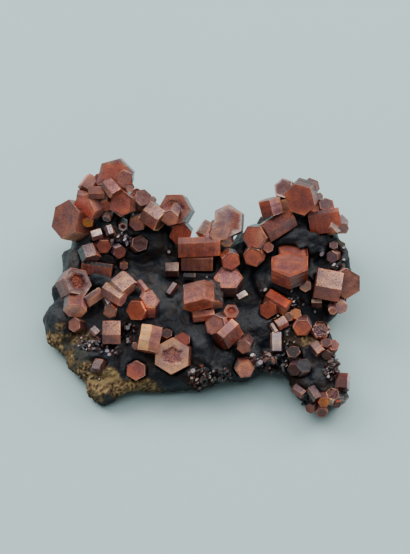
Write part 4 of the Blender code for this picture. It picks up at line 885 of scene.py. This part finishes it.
                # Painted highlight along the edge of the cap.
                if share == lip:
                    tone = self._painted_edge_highlight(tone, Vector((x, y, 0.0)))
                row.append(batch.add_point(place, tone, 0.05 if dull else shine))
            rows.append(row)
        edge_share = 1.0 - 0.3 * self.edge / self.half_flat
        depths = [(edge_share, 0.3 * self.edge), (1.0, self.edge)]
        parts = max(3, round(crystal.length / self.step))
        span = crystal.length - 2.0 * self.edge
        depths += [(1.0, self.edge + span * part / parts) for part in range(1, parts + 1)]
        depths += [(edge_share, crystal.length - 0.3 * self.edge), (lip, crystal.length)]
        for share, depth in depths:
            row = []
            for x, y, out, closeness in self.ring:
                drop = self._side_drop(x, y, depth) if share == 1.0 else 0.02
                chip = noise.noise(Vector((x, y, depth)) * 0.8 + self.seed) - 0.28
                cornered = closeness == 1.0
                worn = max(0.0, chip) * (0.8 if cornered or depth < 0.15 else 0.0)
                push = drop + worn * 0.5
                local = Vector((x * share - out.x * push, y * share - out.y * push, -depth - worn * 0.3))
                tint, gloss = self._side_tint(out)
                fall = min(1.0, max(0.0, depth / crystal.length))
                # Painted glow near the corners and next to the cap, painted shade further down the middle of
                # the sides.
                glow = max(closeness, smooth_step(0.3, 0.0, fall)) * (1.0 - 0.6 * fall)
                tone = Vector(
                    channel * (low + (high - low) * glow)
                    for channel, low, high in zip(TONES[tint], PAINTED_CORE_SHADE, PAINTED_EDGE_GLOW)
                )
                # Painted shade: the sides darken toward the foot of the crystal; the noise adds random tone
                # and, on striated crystals, growth lines.
                shade = (1.12 - 0.5 * fall ** 1.5) * (1.0 + 0.14 * noise.noise(local * 0.8 + self.seed))
                if look.habit is Habit.STRIATED:
                    shade += 0.3 * noise.noise(Vector((depth * 2.2, self.seed.x, 0.2 * x)))
                # Painted highlight along the corners and next to the cap.
                if cornered or depth < 0.12:
                    tone = self._painted_edge_highlight(tone, Vector((x, y, depth)))
                row.append(batch.add_point(crystal.frame @ local, tone * shade, gloss))
            rows.append(row)
        base = batch.add_point(
            crystal.frame @ Vector((0.0, 0.0, -crystal.length)), TONES[look.front or look.cap], 0.5
        )
        count = len(self.ring)
        for place in range(count):
            after = (place + 1) % count
            batch.faces.append((centre, rows[0][after], rows[0][place]))
            batch.faces.append((base, rows[-1][place], rows[-1][after]))
        for upper, lower in zip(rows, rows[1:]):
            for place in range(count):
                after = (place + 1) % count
                batch.faces.append((upper[place], upper[after], lower[after], lower[place]))


def add_node(
    tree: bpy.types.NodeTree, kind: str, settings: Optional[dict] = None, links: Optional[dict] = None
) -> bpy.types.Node:
    """Add a shader node with its settings and incoming links.

    Args:
        tree: the material's node tree.
        kind: node type name.
        settings: property names and socket names with their values.
        links: input socket names with the output sockets that feed them.

    Returns:
        The node.
    """
    node = tree.nodes.new(kind)
    for key, value in (settings or {}).items():
        if isinstance(key, str) and hasattr(node, key):
            setattr(node, key, value)
        else:
            node.inputs[key].default_value = value
    for key, source in (links or {}).items():
        tree.links.new(source, node.inputs[key])
    return node


@dataclass(frozen=True)
class CrystalFinish:
    """Resinous, slightly translucent crystal faces: zoned colour with fine mottling and etching.

    Args:
        name: material name.
        roughness: mean roughness of the faces.
        grain: size of the etched grain, in millimetres.
        grain_depth: strength of the grain's relief.
        pore: spacing of the etch pits on dull faces, in millimetres.
        glow: share of light that scatters inside.
    """

    name: str
    roughness: float
    grain: float
    grain_depth: float
    pore: float
    glow: float

    def build(self) -> bpy.types.Material:
        """Make the material.

        Returns:
            The material.
        """
        material = bpy.data.materials.new(self.name)
        material.use_nodes = True
        tree = material.node_tree
        surface = tree.nodes["Principled BSDF"]
        tone = add_node(tree, "ShaderNodeVertexColor", {"layer_name": "tone"})
        place = add_node(tree, "ShaderNodeTexCoord")
        mottle = add_node(
            tree, "ShaderNodeTexNoise", {"Scale": 1.0 / (0.9 * MM), "Detail": 5.0, "Roughness": 0.6},
            {"Vector": place.outputs["Object"]},
        )
        lighten = add_node(
            tree, "ShaderNodeMapRange",
            {"From Min": 0.3, "From Max": 0.7, "To Min": 0.84, "To Max": 1.18},
            {"Value": mottle.outputs["Fac"]},
        )
        grain = add_node(
            tree, "ShaderNodeTexNoise",
            {"Scale": 1.0 / (self.grain * MM), "Detail": 6.0, "Roughness": 0.7},
            {"Vector": place.outputs["Object"]},
        )
        speckle = add_node(
            tree, "ShaderNodeMapRange",
            {"From Min": 0.35, "From Max": 0.65, "To Min": 0.72, "To Max": 1.30},
            {"Value": grain.outputs["Fac"]},
        )
        both = add_node(
            tree, "ShaderNodeMath", {"operation": "MULTIPLY"},
            {0: lighten.outputs["Result"], 1: speckle.outputs["Result"]},
        )
        drift = add_node(
            tree, "ShaderNodeTexNoise", {"Scale": 1.0 / (2.6 * MM), "Detail": 2.0, "Roughness": 0.5},
            {"Vector": place.outputs["Object"]},
        )
        warmth = add_node(
            tree, "ShaderNodeMapRange",
            {
                "data_type": "FLOAT_VECTOR", 7: (0.34, 0.34, 0.34), 8: (0.66, 0.66, 0.66),
                9: (0.76, 0.70, 0.86), 10: (1.34, 1.12, 0.82),
            },
            {6: drift.outputs["Fac"]},
        )
        tinted = add_node(
            tree, "ShaderNodeVectorMath", {"operation": "MULTIPLY"},
            {0: tone.outputs["Color"], 1: warmth.outputs["Vector"]},
        )
        cells = add_node(
            tree, "ShaderNodeTexVoronoi", {"Scale": 1.0 / (self.pore * MM), "Randomness": 1.0},
            {"Vector": place.outputs["Object"]},
        )
        hollow = add_node(
            tree, "ShaderNodeMapRange", {"From Min": 0.18, "From Max": 0.46, "To Min": 0.08, "To Max": 1.24},
            {"Value": cells.outputs["Distance"]},
        )
        etched = add_node(
            tree, "ShaderNodeMapRange", {"From Min": 0.03, "From Max": 0.12, "To Min": 1.0, "To Max": 0.0},
            {"Value": tone.outputs["Alpha"]},
        )
        pitted = add_node(
            tree, "ShaderNodeMix", {"data_type": "FLOAT", 2: 1.0},
            {"Factor": etched.outputs["Result"], 3: hollow.outputs["Result"]},
        )
        shaded = add_node(
            tree, "ShaderNodeMath", {"operation": "MULTIPLY"},
            {0: both.outputs["Value"], 1: pitted.outputs[0]},
        )
        coloured = add_node(
            tree, "ShaderNodeVectorMath", {"operation": "SCALE"},
            {0: tinted.outputs["Vector"], "Scale": shaded.outputs["Value"]},
        )
        tree.links.new(coloured.outputs["Vector"], surface.inputs["Base Color"])
        shine = add_node(
            tree, "ShaderNodeMapRange", {"To Min": 0.04, "To Max": 0.8},
            {"Value": tone.outputs["Alpha"]},
        )
        tree.links.new(shine.outputs["Result"], surface.inputs["Specular IOR Level"])
        wear = add_node(
            tree, "ShaderNodeMapRange",
            {
                "From Min": 0.35, "From Max": 0.65,
                "To Min": self.roughness - 0.08, "To Max": self.roughness + 0.12,
            },
            {"Value": grain.outputs["Fac"]},
        )
        tree.links.new(wear.outputs["Result"], surface.inputs["Roughness"])
        hillocks = add_node(
            tree, "ShaderNodeBump", {"Strength": 0.6, "Distance": 0.12 * MM},
            {"Height": mottle.outputs["Fac"]},
        )
        relief = add_node(
            tree, "ShaderNodeBump", {"Strength": self.grain_depth, "Distance": 0.05 * MM},
            {"Height": grain.outputs["Fac"], "Normal": hillocks.outputs["Normal"]},
        )
        tree.links.new(relief.outputs["Normal"], surface.inputs["Normal"])
        surface.inputs["IOR"].default_value = 1.75
        surface.inputs["Subsurface Weight"].default_value = self.glow
        surface.inputs["Subsurface Radius"].default_value = (1.0, 0.35, 0.2)
        surface.inputs["Subsurface Scale"].default_value = 0.5 * MM
        return material


@dataclass(frozen=True)
class CrustFinish:
    """Oxide crust: satin black where botryoidal, dull and earthy where limonite covers it.

    Args:
        name: material name.
        satin: roughness of the black crust.
        earthy: roughness of the ochre.
    """

    name: str
    satin: float
    earthy: float

    def build(self) -> bpy.types.Material:
        """Make the material.

        Returns:
            The material.
        """
        material = bpy.data.materials.new(self.name)
        material.use_nodes = True
        tree = material.node_tree
        surface = tree.nodes["Principled BSDF"]
        tone = add_node(tree, "ShaderNodeVertexColor", {"layer_name": "tone"})
        place = add_node(tree, "ShaderNodeTexCoord")
        mottle = add_node(
            tree, "ShaderNodeTexNoise", {"Scale": 1.0 / (0.8 * MM), "Detail": 6.0, "Roughness": 0.65},
            {"Vector": place.outputs["Object"]},
        )
        lighten = add_node(
            tree, "ShaderNodeMapRange",
            {"From Min": 0.3, "From Max": 0.72, "To Min": 0.7, "To Max": 1.35},
            {"Value": mottle.outputs["Fac"]},
        )
        coloured = add_node(
            tree, "ShaderNodeVectorMath", {"operation": "SCALE"},
            {"Vector": tone.outputs["Color"], "Scale": lighten.outputs["Result"]},
        )
        tree.links.new(coloured.outputs["Vector"], surface.inputs["Base Color"])
        dullness = add_node(
            tree, "ShaderNodeMapRange", {"To Min": self.earthy, "To Max": self.satin},
            {"Value": tone.outputs["Alpha"]},
        )
        tree.links.new(dullness.outputs["Result"], surface.inputs["Roughness"])
        grit = add_node(
            tree, "ShaderNodeTexVoronoi", {"Scale": 1.0 / (0.55 * MM)},
            {"Vector": place.outputs["Object"]},
        )
        fine = add_node(
            tree, "ShaderNodeTexNoise", {"Scale": 1.0 / (0.2 * MM), "Detail": 5.0, "Roughness": 0.7},
            {"Vector": place.outputs["Object"]},
        )
        joined = add_node(
            tree, "ShaderNodeMath", {"operation": "SUBTRACT"},
            {0: fine.outputs["Fac"], 1: grit.outputs["Distance"]},
        )
        relief = add_node(
            tree, "ShaderNodeBump", {"Strength": 0.7, "Distance": 0.12 * MM},
            {"Height": joined.outputs["Value"]},
        )
        tree.links.new(relief.outputs["Normal"], surface.inputs["Normal"])
        surface.inputs["IOR"].default_value = 1.45
        surface.inputs["Specular IOR Level"].default_value = 0.36
        return material


class Crust:
    """The matrix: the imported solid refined, knobbly where black, crumbly where ochre."""

    VOXEL = 0.30
    KNOB = 1.25

    def __init__(self, node: bpy.types.Object, box: tuple[Vector, Vector]) -> None:
        self.node = node
        self.box = box

    def _refined(self) -> bpy.types.Mesh:
        """Evenly divided copy of the matrix solid."""
        rough = bpy.data.objects.new("crust_draft", self.node.data.copy())
        bpy.context.scene.collection.objects.link(rough)
        even = rough.modifiers.new("even", "REMESH")
        even.mode = "VOXEL"
        even.voxel_size = self.VOXEL * MM
        soft = rough.modifiers.new("soft", "SMOOTH")
        soft.factor = 0.5
        soft.iterations = 14
        bpy.context.view_layer.update()
        mesh = bpy.data.meshes.new_from_object(rough.evaluated_get(bpy.context.evaluated_depsgraph_get()))
        bpy.data.objects.remove(rough)
        return mesh

    def _tone(self, place: Vector, knob: float) -> tuple[Vector, float]:
        """Colour and gloss of the crust at a point, with painted light on knob tops and painted shade between
        knobs.
        """
        across, up = on_plane(place)
        wander = noise.fractal(place * 0.45, 1.0, 2.0, 3)
        fine = noise.noise(place * 2.3 + Vector((5.0, 2.0, 8.0)))
        tone = TONES[Tint.CRUST].lerp(TONES[Tint.SLATE], 0.22 * smooth_step(0.0, 0.6, wander + 0.2))
        tone = tone.lerp(TONES[Tint.UMBER], 0.5 * smooth_step(0.05, 0.45, -wander))
        gloss = 1.0
        for patch in PATCHES:
            reach = math.hypot((across - patch.across) / patch.half_width, (up - patch.up) / patch.half_height)
            share = (1.0 - smooth_step(0.75, 1.15, reach + 0.35 * wander + 0.12 * fine)) * patch.strength
            if share > 0.0:
                tint = TONES[patch.tint]
                if patch.tint is Tint.OCHRE:
                    tint = tint.lerp(TONES[Tint.LIMONITE], smooth_step(0.0, 0.4, fine))
                    tint = tint.lerp(TONES[Tint.UMBER], smooth_step(0.1, 0.5, -fine - 0.3 * wander))
                tone = tone.lerp(tint, share)
                gloss = gloss * (1.0 - 0.9 * share)
        # Darker umber and duller toward the table, below about 3.6 mm.
        under = smooth_step(3.4, 1.6, place.z + 0.6 * wander) if place.z < 3.6 else 0.0
        tone = tone.lerp(TONES[Tint.UMBER], 0.6 * under)
        # Painted light and shade: knob tops lighter, the gaps between knobs darker.
        return tone * (0.85 + 0.3 * knob), gloss * (1.0 - 0.5 * under)

    def build(self, material: bpy.types.Material) -> bpy.types.Object:
        """Make the crust.

        Args:
            material: its finish.

        Returns:
            The object.
        """
        mesh = self._refined()
        tones = []
        moved = []
        for vert in mesh.vertices:
            place = vert.co / MM
            gaps, _ = noise.voronoi(place / self.KNOB)
            knob = 1.0 - min(1.0, gaps[0] * 1.25)
            small, _ = noise.voronoi(place / 0.6)
            crumb = noise.fractal(place * 1.3, 0.9, 2.1, 4)
            tone, gloss = self._tone(place, knob)
            smooth = 0.20 * knob + 0.05 * (1.0 - min(1.0, small[0] * 1.3))
            earthy = 0.42 * max(-0.4, crumb) + 0.16 * (1.0 - min(1.0, small[0] * 1.4))
            push = smooth * gloss + earthy * (1.0 - gloss)
            clear = smooth_step(0.15, 0.8, place.z)
            moved.append(vert.co + vert.normal * (push * clear * MM))
            tones.append((tone.x, tone.y, tone.z, gloss))
        for vert, place in zip(mesh.vertices, moved):
            vert.co = inside(place, *self.box)
        store_tones(mesh, tones)
        mesh.materials.clear()
        mesh.materials.append(material)
        mesh.shade_smooth()
        made = bpy.data.objects.new("matrix_crust", mesh)
        bpy.context.scene.collection.objects.link(made)
        return made


class TinyCrystals:
    """Small prisms scattered on the crust, and pale ones placed as painted glints."""

    SEED = 41

    def __init__(self, crust: bpy.types.Object, box: tuple[Vector, Vector]) -> None:
        self.tree = BVHTree.FromObject(crust, bpy.context.evaluated_depsgraph_get())
        self.chance = random.Random(self.SEED)
        self.box = box

    def _landing(self, across: float, up: float) -> Optional[tuple[Vector, Vector]]:
        """Where a line of sight meets the crust, with the normal, in millimetres."""
        start = (plane_point(across, up, DATUM_HEIGHT) + VIEW_OUT * 60.0) * MM
        place, normal, _, _ = self.tree.ray_cast(start, -VIEW_OUT)
        if place is None:
            return None
        return place / MM, normal

    def _prism(self, batch: Batch, place: Vector, axis: Vector, size: float, tint: Tint) -> None:
        """Add one small six-sided prism, bevelled at the cap, painted darker at its foot and lighter at its
        cap.
        """
        first = axis.orthogonal().normalized()
        second = axis.cross(first)
        spin = self.chance.uniform(0.0, math.tau)
        flat = self.chance.uniform(0.4, 1.0)
        half = size / 2.0
        tall = size * self.chance.uniform(0.3, 1.2)
        tone = TONES[tint]
        rows = []
        # Painted light and shade: each row's colour is scaled from dark at the foot to light at the cap.
        for lift, share, light in ((-half, 1.0, 0.25), (tall * 0.94, 1.0, 0.5), (tall, 0.93, 0.75)):
            row = []
            for corner in range(6):
                turn = spin + corner * math.tau / 6.0
                side = first * math.cos(turn) + second * math.sin(turn) * flat
                row.append(batch.add_point(place + axis * lift + side * half * share, tone * light, 0.6))
            rows.append(row)
        for lower, upper in zip(rows, rows[1:]):
            for corner in range(6):
                after = (corner + 1) % 6
                batch.faces.append((lower[corner], lower[after], upper[after], upper[corner]))
        batch.faces.append(tuple(rows[-1]))
        batch.faces.append(tuple(reversed(rows[0])))

    def _inside(self, place: Vector, reach: float) -> bool:
        """Whether a prism at a point stays inside the matrix's box."""
        low, high = self.box
        return all(low[axis] / MM + reach < place[axis] < high[axis] / MM - reach for axis in range(3))

    def build(self, material: bpy.types.Material) -> bpy.types.Object:
        """Make all of them as one piece.

        Args:
            material: their finish.

        Returns:
            The object.
        """
        batch = Batch()
        for zone in SPRINKLES:
            for _ in range(zone.count):
                turn = self.chance.uniform(0.0, math.tau)
                reach = math.sqrt(self.chance.random())
                across = zone.across + zone.half_width * reach * math.cos(turn)
                up = zone.up + zone.half_height * reach * math.sin(turn)
                size = self.chance.uniform(zone.smallest, zone.largest)
                self._settle(batch, across, up, size, self.chance.choice(zone.tints), 0.9)
        # Painted glints: pale tiny prisms set where facets catch the light.
        for across, up, size in GLINTS:
            self._settle(batch, across, up, size, Tint.FROST, 0.25)
        return batch.to_object("tiny_crystals", material, 25.0)

    def _settle(self, batch: Batch, across: float, up: float, size: float, tint: Tint, tilt: float) -> None:
        """Set one small prism where it lands on the crust."""
        found = self._landing(across, up)
        if found is None or not self._inside(found[0], size):
            return
        place, normal = found
        wild = Vector([self.chance.gauss(0.0, 1.0) for _ in range(3)])
        axis = (normal + Vector((0.0, 0.0, 0.6)) + wild * tilt * 0.6).normalized()
        self._prism(batch, place, axis, size, tint)


@dataclass(frozen=True)
class TableFinish:
    """Smooth pale table top, with a faint unevenness of tone.

    Args:
        name: material name.
        tint: its colour.
        roughness: its roughness.
    """

    name: str
    tint: Tint
    roughness: float

    def build(self) -> bpy.types.Material:
        """Make the material.

        Returns:
            The material.
        """
        material = bpy.data.materials.new(self.name)
        material.use_nodes = True
        tree = material.node_tree
        surface = tree.nodes["Principled BSDF"]
        place = add_node(tree, "ShaderNodeTexCoord")
        cloud = add_node(
            tree, "ShaderNodeTexNoise", {"Scale": 12.0, "Detail": 2.0}, {"Vector": place.outputs["Object"]}
        )
        tone = linear_colour(self.tint.value)
        mixed = add_node(
            tree, "ShaderNodeMix", {"data_type": "RGBA"}, {"Factor": cloud.outputs["Fac"]}
        )
        mixed.inputs[6].default_value = (*(value * 0.97 for value in tone), 1.0)
        mixed.inputs[7].default_value = (*(min(1.0, value * 1.03) for value in tone), 1.0)
        tree.links.new(mixed.outputs[2], surface.inputs["Base Color"])
        surface.inputs["Roughness"].default_value = self.roughness
        surface.inputs["IOR"].default_value = 1.45
        return material


class Studio:
    """Table, lights and camera."""

    DISTANCE = 1500.0
    FRAME_HEIGHT = 110.8
    AIM = (1.0, 2.6)

    def _table(self) -> None:
        """Lay the table top."""
        mesh = bpy.data.meshes.new("table_top")
        shape = bmesh.new()
        bmesh.ops.create_grid(shape, x_segments=1, y_segments=1, size=1.5)
        shape.to_mesh(mesh)
        shape.free()
        mesh.materials.append(TableFinish("pale_table", Tint.TABLE, 0.6).build())
        made = bpy.data.objects.new("table_top", mesh)
        bpy.context.scene.collection.objects.link(made)
        made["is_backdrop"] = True

    def _area(self, name: str, place: Vector, size: float, watts: float, tint: str) -> None:
        """Hang one soft square lamp that looks at the specimen."""
        light = bpy.data.lights.new(name, "AREA")
        light.shape = "SQUARE"
        light.size = size
        light.energy = watts
        light.color = linear_colour(tint)
        made = bpy.data.objects.new(name, light)
        made.location = place
        made.rotation_euler = (-place).to_track_quat("-Z", "Y").to_euler()
        bpy.context.scene.collection.objects.link(made)

    def _sky(self) -> None:
        """Fill the room with pale light."""
        world = bpy.data.worlds.new("pale_room")
        world.use_nodes = True
        back = world.node_tree.nodes["Background"]
        back.inputs["Color"].default_value = (*linear_colour("#DCE3E4"), 1.0)
        back.inputs["Strength"].default_value = 0.25
        bpy.context.scene.world = world

    def _camera(self) -> None:
        """Look down at the display plane from 62 degrees."""
        across, up = self.AIM
        aim = Vector((across, up / SIN_E, DATUM_HEIGHT)) - CENTRE
        camera = bpy.data.cameras.new("camera")
        camera.sensor_width = 36.0
        camera.lens = 36.0 * self.DISTANCE / self.FRAME_HEIGHT
        camera.clip_end = 10.0
        made = bpy.data.objects.new("camera", camera)
        made.location = (aim + VIEW_OUT * self.DISTANCE) * MM
        made.rotation_euler = (-VIEW_OUT).to_track_quat("-Z", "Y").to_euler()
        bpy.context.scene.collection.objects.link(made)
        bpy.context.scene.camera = made

    def build(self) -> None:
        """Set the whole stage."""
        self._table()
        self._area("ceiling", Vector((0.0, 0.45, 1.25)), 1.8, 22.0, "#FDFEFF")
        self._area("back_left_softbox", Vector((-0.70, 0.50, 0.62)), 0.55, 9.0, "#FFFBF6")
        self._area("back_right_softbox", Vector((0.70, 0.55, 0.62)), 0.55, 9.0, "#FFFBF6")
        self._sky()
        self._camera()


class Specimen:
    """The dressed part: crust, crystal clusters and tiny crystals."""

    def __init__(self) -> None:
        self.slots = {part["node"]: part["material_slot"] for part in frame["record"]["subparts"]}
        self.finishes = {
            "vanadinite": CrystalFinish("vanadinite_faces", 0.26, 0.16, 0.35, 0.30, 0.12),
            "deep_red_vanadinite": CrystalFinish("deep_red_faces", 0.24, 0.18, 0.3, 0.30, 0.12),
            "pale_vanadinite": CrystalFinish("frosted_pale_faces", 0.42, 0.12, 0.45, 0.26, 0.1),
            "smoky_vanadinite": CrystalFinish("smoky_faces", 0.28, 0.16, 0.35, 0.30, 0.1),
        }
        self.materials = {slot: finish.build() for slot, finish in self.finishes.items()}

    def _clusters(self) -> dict[str, list[Crystal]]:
        """Every crystal, by cluster."""
        clusters: dict[str, list[Crystal]] = {}
        crystals = [Crystal.capped(row) for row in CAPPED] + [Crystal.lying(row) for row in LYING]
        for crystal in crystals:
            clusters.setdefault(crystal.cluster, []).append(crystal)
        return clusters

    def build(self) -> None:
        """Dress every node of the part."""
        box = tuple(Vector(corner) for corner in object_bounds())
        crust = Crust(frame["nodes"]["matrix"], box).build(CrustFinish("oxide_crust", 0.46, 0.9).build())
        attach(crust, "root")
        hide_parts("matrix")
        for cluster, crystals in self._clusters().items():
            node = cluster.replace(" ", "_")
            batch = Batch()
            for crystal in crystals:
                CrystalGrower(crystal).grow(batch)
            batch.keep_inside(*box)
            slot = self.slots[node]
            made = batch.to_object(f"{node}.faces", self.materials[slot], 22.0)
            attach(made, "root")
            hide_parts(node)
        tiny = TinyCrystals(crust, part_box("matrix")).build(self.materials["vanadinite"])
        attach(tiny, "root")
        LOG.info("crystals grown")


def main() -> None:
    """Dress the part and set the stage."""
    logging.basicConfig(level=logging.INFO)
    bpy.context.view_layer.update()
    Specimen().build()
    Studio().build()


if __name__ == "__main__":
    main()
